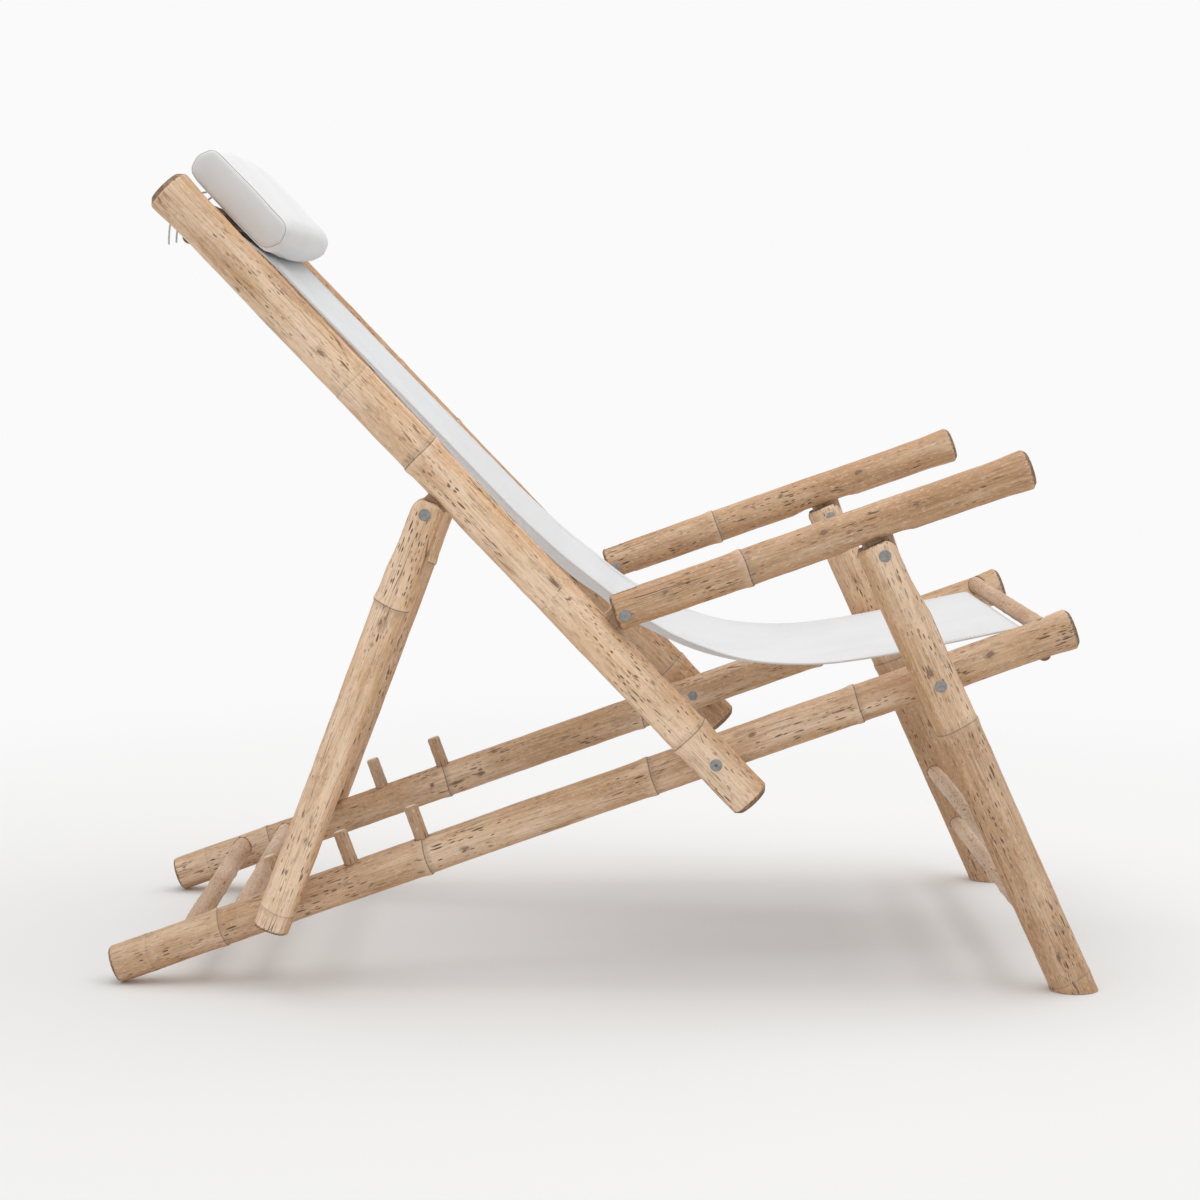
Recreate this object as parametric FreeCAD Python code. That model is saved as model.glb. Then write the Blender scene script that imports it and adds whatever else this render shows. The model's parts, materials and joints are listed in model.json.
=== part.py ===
import FreeCAD, Part
import math
import os

# Folding recliner of solid bamboo poles with a canvas sling. Lengths are in millimetres.
# On each side the base rails lie in an inner plane and all other poles in an outer one.
# +X is the front of the seat, +Y the sitter's left, +Z up, and the floor is z = 0.

V = FreeCAD.Vector

# Pole diameters
base_pole_d = 45.4
back_pole_d = 50.2
leg_pole_d = 51.6
arm_pole_d = 44.2
prop_pole_d = 42.2

# Width across the chair, between the base rails' axes, and the gap between poles that cross
base_rail_spread = 500.0
pole_gap = 1.0

# Slopes in degrees
base_angle = 19.5
back_angle = 46.55
leg_angle = 65.5
arm_angle = 19.3

# Base rails, with places measured along the rail from its rear end
base_rail_length = 1197.0
back_pivot_at = 749.0
leg_pivot_at = 1021.5
rear_stretcher_d = 25.0
rear_stretcher_at = (98.0, 161.0)
rear_stretcher_rise = (8.0, 7.0)
lowest_peg_at = 217.0
peg_pitch = 88.5
peg_count = 3
peg_d = 18.0
peg_height = 39.0
peg_depth = 14.0

# Back rails, with places measured up the rail from the back pivot
back_above_pivot = 905.5
back_below_pivot = 64.5
arm_pivot_along = 197.0
arm_pivot_offset = 43.0
prop_pivot_along = 437.0
prop_pivot_offset = 43.2

# Front legs, armrests and prop
leg_pivot_to_arm = 163.5
leg_top_offset = 2.0
leg_top_beyond = 9.0
leg_stretcher_d = 18.0
leg_stretcher_height = (160.0, 88.0)
leg_stretcher_setback = 11.0
arm_axis_rise = 4.0
arm_front_reach = 493.0
arm_rear_reach = 11.5
arm_seat_relief = 4.0
arm_seat_reach = 30.0
prop_top_beyond = 15.6
prop_foot_beyond = 61.0
prop_foot_node = 36.0
prop_bar_d = 22.0

# The two bars at each end of the sling: a fixed bar, and a loose rod in the sling's hem
sling_bar_d = 22.0
sling_bar_rise = 12.0
hem_rod_d = 18.0
hem_rod_drop = 20.0
hem_rod_setback = 7.0
hem_rod_end_inset = 6.0
front_bar_at = 1163.0
top_bar_at = 854.0

# Clevis joints: a slot in the pole's end straddles a flat tongue
slot_width = 13.0
tongue_thickness = 12.0
tongue_mortise = 14.0
tongue_reach = 11.5
tongue_corner = 4.0
arm_tongue_width = 32.0
prop_tongue_width = 29.0
leg_tongue_width = 37.0
slot_play = 3.0
open_pivot_play = 3.6
relief_length = 40.0
relief_run_out = 24.0
relief_play = 0.5
open_relief_play = 1.6

# Bolts with round heads and cap nuts, let into flat round seats
bolt_d = 8.0
bolt_head_d = 14.0
bolt_head_height = 2.6
nut_sides = 12
seat_depth = 1.7
seat_play = 0.6
turning_play = 0.3
pin_play = 0.06
tenon_play = 0.05
arc_share = 0.45

# Bamboo stems: bevelled ends, and a swelling at each node, with the nodes' places along each pole
end_round = 4.0
rear_end_round = 3.0
head_end_round = 6.0
crown_end_round = 3.0
end_flare = 0.8
node_swell = 1.5
node_run = 18.0
base_nodes = (368.0, 674.0, 924.0)
back_nodes = (44.0, 268.0, 491.0, 702.0)
arm_nodes = (149.0, 342.0)
prop_nodes = (112.0, 330.0)
leg_node = -54.0
foot_node_height = 32.0
bar_let_in = 0.9

# Canvas sling
sling_half_width = 205.0
sling_thickness = 2.4
hem_play = 0.3
span_gap = 0.6
span_overrun = 35.0
hem_turn = (0.3, 0.95)

# The sling's edge in the side view, up and in front of the back rail and then along and above the
# base rail, and how far its middle sags below the edge at each of these places
sling_back_path = ((785.0, 22.0), (311.0, 27.0))
sling_back_sag = (2.0, 24.0)
sling_seat_path = ((738.0, 154.5), (815.0, 88.0), (898.0, 52.0), (987.0, 34.0))
sling_seat_sag = (23.0, 19.0, 11.0, 5.0)
sag_stations = (-1.0, -0.55, 0.0, 0.55, 1.0)

# Head cushion, with places measured up the back rail from the back pivot
cushion_half_width = 258.0
cushion_middle_at = 845.0
cushion_length = 132.0
cushion_end_height = 39.0
cushion_crown = 4.0
cushion_side_bow = 3.0
cushion_face_bow = 0.9
cushion_corner = 12.0
cushion_corner_runs = 3
cushion_lift = 0.4
# From the end panel to the middle: share of the half width, extra half length, and share of the crown
cushion_profile = ((1.0, -3.0, 0.0), (0.86, 0.0, 0.55), (0.5, 1.5, 0.9), (0.0, 2.0, 1.0))

# Cords that tie the cushion to the top bar, with places measured up the back rail and behind its middle
tie_d = 2.2
tie_offsets = (232.0, 220.0)
tie_paths = (((877.0, -25.2), (889.0, -9.0), (889.0, 25.0)),
             ((870.5, -24.9), (874.0, 0.5), (878.0, 26.0)))
tie_hang = (34.0, 23.0)

# Worked out from the sizes above
base_r = base_pole_d / 2
back_r = back_pole_d / 2
leg_r = leg_pole_d / 2
arm_r = arm_pole_d / 2
prop_r = prop_pole_d / 2
bolt_r = bolt_d / 2
inner_y = base_rail_spread / 2
outer_y = inner_y + base_r + max(back_r, leg_r) + pole_gap
cushion_rest = sling_bar_rise + sling_bar_d / 2 + cushion_lift + cushion_face_bow
sides = {"left": 1, "right": -1}
# Longer than any pole is thick, for the cutters
far = 200.0


def heading(degrees):
    """Unit vector in the side plane, tilted up from +X."""
    return V(math.cos(math.radians(degrees)), 0, math.sin(math.radians(degrees)))


class Line:
    """A pole's own axes in the side plane: along its length, and square to it on its upper side."""

    def __init__(self, origin, degrees):
        self.origin = origin
        self.degrees = degrees
        self.along = heading(degrees)
        self.up = heading(degrees + 90)

    def at(self, along, up=0.0, y=0.0):
        return self.origin + self.along * along + self.up * up + V(0, y, 0)

    def coords(self, point):
        d = point - self.origin
        return d.dot(self.along), d.dot(self.up)

    def place(self, shape, y=0.0):
        """Turns a shape built along +X, with its upper side along +Z, onto this line."""
        turn = FreeCAD.Rotation(V(0, 1, 0), -self.degrees)
        moved = shape.copy()
        moved.Placement = FreeCAD.Placement(self.origin + V(0, y, 0), turn).multiply(shape.Placement)
        return moved


# The side view. The base rail's lower rear edge is on the floor, and x = 0 is the middle of the length.
rail_run = heading(base_angle)
rail_corner_r = base_r - rear_end_round
base_rise = max(rail_corner_r * rail_run.x, base_r * rail_run.x - rear_end_round * rail_run.z)
rear_reach = rail_corner_r * rail_run.z
leg_run = heading(leg_angle)
foot_run = (base_rise + leg_pivot_at * rail_run.z) * leg_run.x / leg_run.z
foot_front = leg_pivot_at * rail_run.x + foot_run + leg_r / leg_run.z
base = Line(V((rear_reach - foot_front) / 2, 0, base_rise), base_angle)
back = Line(base.at(back_pivot_at), 180 - back_angle)
leg = Line(base.at(leg_pivot_at), 180 - leg_angle)
leg_top_pivot = leg.at(leg_pivot_to_arm, -leg_top_offset)
arm_pivot = back.at(arm_pivot_along, -arm_pivot_offset)
arm = Line(arm_pivot + heading(arm_angle + 90) * arm_axis_rise, arm_angle)
prop_pivot = back.at(prop_pivot_along, prop_pivot_offset)
prop_bar = base.at(lowest_peg_at + (peg_d + prop_bar_d) / 2, base_r + prop_bar_d / 2)
prop_run = prop_bar - prop_pivot
prop = Line(prop_pivot, math.degrees(math.atan2(prop_run.z, prop_run.x)))
peg_places = [lowest_peg_at + i * peg_pitch for i in range(peg_count)]
leg_tongue_at, leg_tongue_drop = arm.coords(leg_top_pivot)


def bar(radius, along, up, low_y, high_y):
    """A round bar along Y, in a pole's own axes."""
    return Part.makeCylinder(radius, high_y - low_y, V(along, low_y, up), V(0, 1, 0))


def block(low, high):
    """A box between two corners."""
    return Part.makeBox(high[0] - low[0], high[1] - low[1], high[2] - low[2], V(*low))


def chain(points):
    """Straight edges through a list of points."""
    return [Part.LineSegment(a, b).toShape() for a, b in zip(points, points[1:])]


def board(outline, thickness):
    """A flat board in the side plane, from the along and up of its corners."""
    points = [V(along, -thickness / 2, up) for along, up in outline]
    return Part.Face(Part.Wire(chain(points + points[:1]))).extrude(V(0, thickness, 0))


def stem(start, end, radius, nodes, start_round=end_round, last_round=end_round, flare=0.0):
    """A bamboo pole along +X. It swells up to each node and steps back past it, and its far end flares."""
    points = [V(start, 0, radius - start_round), V(start + start_round, 0, radius)]
    for x in sorted(nodes):
        points += [V(x - node_run, 0, radius), V(x, 0, radius + node_swell), V(x, 0, radius)]
    if flare:
        points.append(V(end - last_round - node_run, 0, radius))
    points += [V(end - last_round, 0, radius + flare), V(end, 0, radius + flare - last_round)]
    outline = [V(end, 0, 0), V(start, 0, 0)] + points + [V(end, 0, 0)]
    return Part.Face(Part.Wire(chain(outline))).revolve(V(0, 0, 0), V(1, 0, 0), 360)


def fold_relief(at, up, gap, side, toward, pole_r):
    """What a clevis end loses so that it turns flat against the pole that carries its pivot.

    The pivot is at (at, up) and gap is its distance from that pole's face. The pole runs from it
    towards +X or -X as toward says, and loses its upper side (side 1) or its lower one (side -1).
    """
    flat = gap - relief_play
    run_out = relief_length + relief_run_out
    outline = [(0, flat), (relief_length, flat), (run_out, pole_r + relief_play), (0, far)]
    cut = board([(at + toward * a, up + side * u) for a, u in outline], far)
    beyond = sorted((at, at - toward * far))
    past = sorted((up, up + side * far))
    corner = block((beyond[0], -far / 2, past[0]), (beyond[1], far / 2, past[1]))
    return cut.fuse(corner.cut(bar(flat, at, up, -far / 2, far / 2)))


def slot(at, toward, depth):
    """The slot for a tongue, open at the pole's end and on its upper and lower sides."""
    ends = sorted((at - toward * far, at + toward * depth))
    half = slot_width / 2
    return block((ends[0], -half, -far / 2), (ends[1], half, far / 2))


def tongue_radius(width):
    """How far a tongue's corner reaches from its pivot."""
    return math.hypot(width / 2, tongue_reach)


def tongue(at, width, root, pivot, hole_r):
    """A flat tongue square to its pole. root and pivot are signed distances from the pole's axis."""
    way = 1 if pivot > root else -1
    tip = pivot + way * tongue_reach
    half = width / 2
    outline = [(at - half, root), (at + half, root), (at + half, tip - way * tongue_corner),
               (at + half - tongue_corner, tip), (at - half + tongue_corner, tip),
               (at - half, tip - way * tongue_corner)]
    return board(outline, tongue_thickness).cut(bar(hole_r, at, pivot, -far, far))


def mortise(at, width, pole_r, way):
    """The blind hole for a tongue in the pole that carries it."""
    half = width / 2 + tenon_play
    thick = tongue_thickness / 2 + tenon_play
    ends = sorted((way * (pole_r - tongue_mortise - tenon_play), way * far))
    return block((at - half, -thick, ends[0]), (at + half, thick, ends[1]))


def seat(at, up, pole_r, way):
    """A flat round recess for a bolt head or a nut, on the pole's face towards way along Y."""
    face = way * (pole_r - seat_depth)
    ends = sorted((face, way * far))
    return bar(bolt_head_d / 2 + seat_play, at, up, ends[0], ends[1])


def bar_hole(at, up, diameter, pole_r, side):
    """The blind hole for a cross bar's end, in a pole's inner side."""
    ends = sorted((side * pole_r * (1 - bar_let_in) - side * tenon_play, -side * far))
    return bar(diameter / 2 + tenon_play, at, up, ends[0], ends[1])


def hem_pocket(at, up, side):
    """The pocket in a rail's inner face that holds the end of a hem rod."""
    ends = sorted((-side * (hem_rod_end_inset - turning_play), -side * far))
    return bar(hem_rod_d / 2 + turning_play, at - hem_rod_setback, up, ends[0], ends[1])


def cut_all(shape, cutters):
    """Cuts a pole and keeps its one solid."""
    for cutter in cutters:
        shape = shape.cut(cutter)
    return max(shape.Solids, key=lambda s: s.Volume)


def base_rail(side):
    """An inner rail: its rear end is on the floor and its front end carries the sling."""
    pole = stem(0, base_rail_length, base_r, base_nodes, rear_end_round, end_round, end_flare)
    bars = [(at, up, rear_stretcher_d) for at, up in zip(rear_stretcher_at, rear_stretcher_rise)]
    bars.append((front_bar_at, sling_bar_rise, sling_bar_d))
    cutters = [bar_hole(at, up, diameter, base_r, side) for at, up, diameter in bars]
    cutters.append(hem_pocket(front_bar_at, -hem_rod_drop, side))
    for at in peg_places:
        start = V(at, 0, base_r - peg_depth)
        cutters.append(Part.makeCylinder(peg_d / 2 + tenon_play, peg_height, start, V(0, 0, 1)))
    for at in (back_pivot_at, leg_pivot_at):
        cutters.append(bar(bolt_r + tenon_play, at, 0, -far, far))
        cutters.append(seat(at, 0, base_r, -side))
    return base.place(cut_all(pole, cutters), side * inner_y)


def recline_peg(at, side):
    """An upright peg in the top of a base rail, which stops the prop's bar."""
    peg = Part.makeCylinder(peg_d / 2, peg_depth + peg_height, V(at, 0, base_r - peg_depth))
    return base.place(peg, side * inner_y)


def cross_bar(line, at, up, diameter, wall_y, pole_r):
    """A round branch across the chair, with its ends let into the poles on both sides."""
    end = wall_y - pole_r * (1 - bar_let_in)
    return line.place(bar(diameter / 2, at, up, -end, end))


def hem_rod(line, at, up, wall_y):
    """The loose rod in the sling's hem. Its ends sit in pockets in the rails."""
    end = wall_y - hem_rod_end_inset
    return line.place(bar(hem_rod_d / 2, at - hem_rod_setback, up, -end, end))


def back_rail(side):
    """An outer rail of the back, from just under the back pivot up to the head end."""
    pole = stem(-back_below_pivot, back_above_pivot, back_r, back_nodes, head_end_round, head_end_round,
                end_flare)
    cutters = [mortise(arm_pivot_along, arm_tongue_width, back_r, -1),
               mortise(prop_pivot_along, prop_tongue_width, back_r, 1),
               bar(bolt_r + pin_play, 0, 0, -far, far),
               seat(0, 0, back_r, side),
               bar_hole(top_bar_at, -sling_bar_rise, sling_bar_d, back_r, side),
               hem_pocket(top_bar_at, hem_rod_drop, side)]
    return back.place(cut_all(pole, cutters), side * outer_y)


def back_tongue(at, width, pivot, side):
    """A tongue in a back rail, for an armrest on its front side or a prop leg on its rear side."""
    root = math.copysign(back_r - tongue_mortise, pivot)
    return back.place(tongue(at, width, root, pivot, bolt_r + pin_play), side * outer_y)


def armrest(side):
    """An armrest: its slotted rear end turns on the back rail's tongue, and the leg's tongue is under it."""
    pole = stem(-arm_rear_reach, arm_front_reach, arm_r, arm_nodes, crown_end_round, end_round, end_flare)
    floor = arm_r - arm_seat_relief
    ends = (leg_tongue_at - arm_seat_reach, leg_tongue_at + arm_seat_reach)
    outline = [(ends[0] - relief_run_out, -arm_r - relief_play), (ends[0], -floor), (ends[1], -floor),
               (ends[1] + relief_run_out, -arm_r - relief_play), (ends[1], -far), (ends[0], -far)]
    cutters = [slot(0, 1, tongue_radius(arm_tongue_width) + slot_play),
               fold_relief(0, -arm_axis_rise, arm_pivot_offset - back_r, -1, 1, arm_r + arm_axis_rise),
               board(outline, far),
               mortise(leg_tongue_at, leg_tongue_width, arm_r, -1),
               bar(bolt_r + tenon_play, 0, -arm_axis_rise, -far, far)]
    cutters += [seat(0, -arm_axis_rise, arm_r, way) for way in (-1, 1)]
    return arm.place(cut_all(pole, cutters), side * outer_y)


def leg_tongue(side):
    """The tongue under an armrest. Its bolt hole is wide, because the linkage is open here."""
    root = -(arm_r - tongue_mortise)
    hole_r = bolt_r + open_pivot_play
    shape = tongue(leg_tongue_at, leg_tongue_width, root, leg_tongue_drop, hole_r)
    return arm.place(shape, side * outer_y)


def front_leg(side):
    """An outer leg: slotted under the armrest, bolted to the base rail, and cut flat on the floor."""
    foot = -leg.origin.z / leg_run.z
    nodes = (foot + foot_node_height, leg_node)
    top = leg_pivot_to_arm + leg_top_beyond
    pole = stem(foot - leg_pole_d, top, leg_r, nodes, end_round, crown_end_round)
    gap = -leg_tongue_drop - arm_r + arm_seat_relief - open_relief_play
    depth = tongue_radius(leg_tongue_width) + slot_play + open_pivot_play
    cutters = [slot(leg_pivot_to_arm, -1, depth),
               fold_relief(leg_pivot_to_arm, -leg_top_offset, gap, -1, -1, leg_r - leg_top_offset),
               bar(bolt_r + pin_play, 0, 0, -far, far),
               bar(bolt_r + tenon_play, leg_pivot_to_arm, -leg_top_offset, -far, far),
               seat(0, 0, leg_r, side)]
    cutters += [seat(leg_pivot_to_arm, -leg_top_offset, leg_r, way) for way in (-1, 1)]
    cutters += [bar_hole(at, up, leg_stretcher_d, leg_r, side) for at, up in stretcher_places()]
    placed = leg.place(cut_all(pole, cutters), side * outer_y)
    sole = leg.at(foot, 0, side * outer_y)
    return cut_all(placed, [block((sole.x - far, sole.y - far, -far), (sole.x + far, sole.y + far, 0))])


def stretcher_places():
    """Where the stretchers meet the legs, in the legs' own axes. They sit behind the legs' middle."""
    return [((height - leg.origin.z) / leg_run.z, leg_stretcher_setback) for height in leg_stretcher_height]


def prop_leg(side):
    """A leg of the prop: slotted on the back rail's tongue, its foot hangs beside the base rail."""
    reach = prop_run.Length
    nodes = prop_nodes + (reach + prop_foot_node,)
    pole = stem(-prop_top_beyond, reach + prop_foot_beyond, prop_r, nodes, crown_end_round, crown_end_round)
    cutters = [slot(0, 1, tongue_radius(prop_tongue_width) + slot_play),
               fold_relief(0, 0, prop_pivot_offset - back_r, -1, 1, prop_r),
               bar(bolt_r + tenon_play, 0, 0, -far, far),
               bar_hole(reach, 0, prop_bar_d, prop_r, side)]
    cutters += [seat(0, 0, prop_r, way) for way in (-1, 1)]
    rail_face = block((0, -far, -far), (back_above_pivot, far, back_r + relief_play))
    placed = prop.place(cut_all(pole, cutters), side * outer_y)
    return cut_all(placed, [back.place(rail_face, side * outer_y)])


def cap_nut():
    """A closed nut with flat sides, on z = 0."""
    step = 2 * math.pi / nut_sides
    corners = [V(math.cos(i * step), math.sin(i * step), 0) * (bolt_head_d / 2) for i in range(nut_sides)]
    return Part.Face(Part.Wire(chain(corners + corners[:1]))).extrude(V(0, 0, bolt_head_height))


def along_y(shape, point, y, way):
    """Turns a shape built along +Z to point outwards (way 1) or inwards (way -1) along Y."""
    turn = FreeCAD.Rotation(V(1, 0, 0), -90 * way)
    shape.Placement = FreeCAD.Placement(V(point.x, y, point.z), turn)
    return shape


def bolt_pair(point, head_face, nut_face, side, play):
    """A bolt from its seat at head_face to its nut at nut_face, measured from the chair's middle."""
    head_at = head_face + play
    shank = head_at - nut_face
    screw = Part.makeCylinder(bolt_head_d / 2, bolt_head_height)
    screw = screw.fuse(Part.makeCylinder(bolt_d / 2, shank, V(0, 0, -shank)))
    return along_y(screw, point, side * head_at, side), along_y(cap_nut(), point, side * nut_face, -side)


def corner_arcs(points):
    """The tangent arc at each inner point of a path: three points on it, and its radius."""
    arcs = []
    for before, here, after in zip(points, points[1:], points[2:]):
        cut = arc_share * min((here - before).Length, (after - here).Length)
        into = (before - here).normalize()
        out = (after - here).normalize()
        half_turn = (math.pi - into.getAngle(out)) / 2
        radius = cut / math.tan(half_turn)
        middle = here + (into + out).normalize() * (radius / math.cos(half_turn) - radius)
        arcs.append((here + into * cut, middle, here + out * cut, radius))
    return arcs


def rounded_path(points):
    """Straight runs joined by tangent arcs, and the arcs' least radius."""
    edges = []
    last = points[0]
    arcs = corner_arcs(points)
    for start, middle, end, _ in arcs:
        edges += chain([last, start])
        edges.append(Part.Arc(start, middle, end).toShape())
        last = end
    return edges + chain([last, points[-1]]), min(radius for _, _, _, radius in arcs)


def eased(points):
    """The path with each inner point replaced by three on its arc."""
    inner = [p for start, middle, end, _ in corner_arcs(points) for p in (start, middle, end)]
    return points[:1] + inner + points[-1:]


def shifted(points, distances):
    """The points of a path moved square to it, to the left of its direction in the side plane."""
    runs = [(b - a).normalize() for a, b in zip(points, points[1:])]
    normals = [V(-run.z, 0, run.x) for run in runs]
    moved = []
    for here, n, m, distance in zip(points, normals[:1] + normals, normals + normals[-1:], distances):
        bisector = (n + m).normalize()
        moved.append(here + bisector * (distance / bisector.dot(n)))
    return moved


def canvas(points, sags):
    """A strip of canvas along a path in the side plane, hanging lower in the middle than at its edges."""
    sections = []
    half = sling_thickness / 2
    for station in sag_stations:
        middle = shifted(points, [-sag * (1 - station * station) for sag in sags])
        upper = [p + V(0, station * sling_half_width, 0) for p in shifted(middle, [half] * len(points))]
        lower = [p + V(0, station * sling_half_width, 0) for p in shifted(middle, [-half] * len(points))]
        outline = eased(upper) + eased(lower[::-1])
        sections.append(Part.Wire(chain(outline + outline[:1])))
    return Part.makeLoft(sections, True, True)


def hem_sleeve(centre):
    """The sling's hem, closed round its rod."""
    inner = hem_rod_d / 2 + hem_play
    outer = bar(inner + sling_thickness, centre.x, centre.z, -sling_half_width, sling_half_width)
    return outer, bar(inner, centre.x, centre.z, -inner_y, inner_y)


def sling_spans():
    """The back span, which moves with the back, and the seat span. They part at the lumbar bend."""
    grip = sling_bar_d / 2 + sling_thickness / 2 + hem_play
    ring = hem_rod_d / 2 + hem_play + sling_thickness / 2
    top_rod = back.at(top_bar_at - hem_rod_setback, hem_rod_drop)
    front_rod = base.at(front_bar_at - hem_rod_setback, -hem_rod_drop)
    back_points = [top_rod - back.along * ring * hem_turn[0] - back.up * ring * hem_turn[1],
                   back.at(top_bar_at - grip, -sling_bar_rise)]
    back_points += [back.at(along, -front) for along, front in sling_back_path]
    seat_points = [base.at(along, up) for along, up in sling_seat_path]
    seat_points += [base.at(front_bar_at - grip, sling_bar_rise),
                    front_rod - base.along * ring * hem_turn[0] + base.up * ring * hem_turn[1]]
    run = (seat_points[0] - back_points[-1]).normalize()
    back_points.append(seat_points[0] - run * (span_overrun + span_gap))
    back_sag = (0, 0) + sling_back_sag + sling_seat_sag[:1]
    seat_points.insert(0, seat_points[0] - run * span_overrun)
    seat_sag = sling_seat_sag[:1] + sling_seat_sag + (0, 0)
    spans = []
    for points, sags, rod in ((back_points, back_sag, top_rod), (seat_points, seat_sag, front_rod)):
        sleeve, bore = hem_sleeve(rod)
        spans.append(canvas(points, sags).fuse(sleeve).cut(bore).removeSplitter())
    return spans


def cushion_section(y, half_length, half_height):
    """One section across the cushion: four bowed sides and four round corners, as short straight runs."""
    c = cushion_corner
    h = half_height
    lift = -(cushion_rest + cushion_end_height / 2 + cushion_crown)
    corners = ((half_length, h), (-half_length, h), (-half_length, -h), (half_length, -h))
    bows = ((0, h + cushion_face_bow), (-half_length - cushion_side_bow, 0), (0, -h - cushion_face_bow),
            (half_length + cushion_side_bow, 0))
    outline = []
    for quarter, ((a, u), bow) in enumerate(zip(corners, bows)):
        for step in range(cushion_corner_runs + 1):
            turn = math.radians(90 * (quarter + step / cushion_corner_runs))
            centre = (a - math.copysign(c, a), u - math.copysign(c, u))
            outline.append((centre[0] + c * math.cos(turn), centre[1] + c * math.sin(turn)))
        outline.append(bow)
    points = [V(cushion_middle_at + along, y, lift + up) for along, up in outline]
    return Part.Wire(chain(points + points[:1]))


def head_cushion():
    """The head cushion: box-edged, crowned in the middle, with its end panels drawn in."""
    half = cushion_length / 2
    stations = [(-y, a, h) for y, a, h in cushion_profile] + list(cushion_profile[-2::-1])
    wires = []
    for y, longer, crown in stations:
        height = cushion_end_height / 2 + cushion_crown * crown
        wires.append(cushion_section(y * cushion_half_width, half + longer, height))
    return back.place(Part.makeLoft(wires, True, True))


def tie(side, offset, path, hang):
    """A limp six-sided cord from under the cushion, over the top bar and down, and its least bend radius."""
    points = [back.at(along, up, side * offset) for along, up in path]
    points.append(points[-1] - V(0, 0, hang))
    edges, bend = rounded_path(points)
    run = (points[1] - points[0]).normalize()
    across = V(0, 1, 0) * (tie_d / 2)
    over = run.cross(across)
    turns = [math.radians(degrees) for degrees in range(0, 360, 60)]
    corners = [points[0] + across * math.cos(turn) + over * math.sin(turn) for turn in turns]
    section = Part.Wire(chain(corners + corners[:1]))
    return Part.Wire(edges).makePipeShell([section], True, False), bend


parts = {}
for name, side in sides.items():
    parts["base_rail_" + name] = base_rail(side)
    for number, at in enumerate(peg_places, 1):
        parts[f"recline_peg_{name}_{number}"] = recline_peg(at, side)
    parts["back_rail_" + name] = back_rail(side)
    parts["arm_tongue_" + name] = back_tongue(arm_pivot_along, arm_tongue_width, -arm_pivot_offset, side)
    parts["prop_tongue_" + name] = back_tongue(prop_pivot_along, prop_tongue_width, prop_pivot_offset, side)
    parts["armrest_" + name] = armrest(side)
    parts["leg_tongue_" + name] = leg_tongue(side)
    parts["front_leg_" + name] = front_leg(side)
    parts["prop_leg_" + name] = prop_leg(side)
    base_nut = inner_y - base_r + seat_depth
    pivots = {"back_pivot": (back.origin, back_r, base_nut, turning_play),
              "leg_pivot": (leg.origin, leg_r, base_nut, turning_play),
              "arm_pivot": (arm_pivot, arm_r, outer_y - arm_r + seat_depth, 0.0),
              "leg_top": (leg_top_pivot, leg_r, outer_y - leg_r + seat_depth, 0.0),
              "prop_pivot": (prop_pivot, prop_r, outer_y - prop_r + seat_depth, 0.0)}
    for pivot, (point, pole_r, nut_face, play) in pivots.items():
        screw, nut = bolt_pair(point, outer_y + pole_r - seat_depth, nut_face, side, play)
        parts[f"{pivot}_bolt_{name}"] = screw
        parts[f"{pivot}_nut_{name}"] = nut

    for label, offset, path, hang in zip(("long", "short"), tie_offsets, tie_paths, tie_hang):
        parts[f"tie_{name}_{label}"], bend = tie(side, offset, path, hang)
        print("tie", name, label, "bend radius", round(bend, 1))

for name, at, up in zip(("lower", "upper"), rear_stretcher_at, rear_stretcher_rise):
    parts["rear_stretcher_" + name] = cross_bar(base, at, up, rear_stretcher_d, inner_y, base_r)
for name, (at, up) in zip(("upper", "lower"), stretcher_places()):
    parts["leg_stretcher_" + name] = cross_bar(leg, at, up, leg_stretcher_d, outer_y, leg_r)
parts["front_bar"] = cross_bar(base, front_bar_at, sling_bar_rise, sling_bar_d, inner_y, base_r)
parts["top_bar"] = cross_bar(back, top_bar_at, -sling_bar_rise, sling_bar_d, outer_y, back_r)
parts["prop_bar"] = cross_bar(prop, prop_run.Length, 0, prop_bar_d, outer_y, prop_r)
parts["front_hem_rod"] = hem_rod(base, front_bar_at, -hem_rod_drop, inner_y)
parts["top_hem_rod"] = hem_rod(back, top_bar_at, hem_rod_drop, outer_y)
parts["sling_back_span"], parts["sling_seat_span"] = sling_spans()
parts["head_cushion"] = head_cushion()

os.makedirs("parts", exist_ok=True)
for name, shape in parts.items():
    solids = shape.Solids
    if len(solids) != 1 or not shape.isValid():
        print("check", name, len(solids), shape.isValid())
    solids[0].exportStep(f"parts/{name}.step")

for name, point in (("back_pivot", back.origin), ("leg_pivot", leg.origin), ("arm_pivot", arm_pivot),
                    ("leg_top", leg_top_pivot), ("prop_pivot", prop_pivot), ("prop_bar", prop_bar)):
    print(name, round(point.x, 2), round(point.z, 2))
boxes = [shape.BoundBox for shape in parts.values()]
print("x", min(b.XMin for b in boxes), max(b.XMax for b in boxes))
print("y", min(b.YMin for b in boxes), max(b.YMax for b in boxes))
print("z", min(b.ZMin for b in boxes), max(b.ZMax for b in boxes))
print("slopes", round(base.degrees, 2), round(back.degrees, 2), round(prop.degrees, 2), len(parts))
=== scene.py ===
import json
import math

import bmesh
import bpy
import numpy as np
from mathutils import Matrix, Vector
from mathutils.bvhtree import BVHTree


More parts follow.
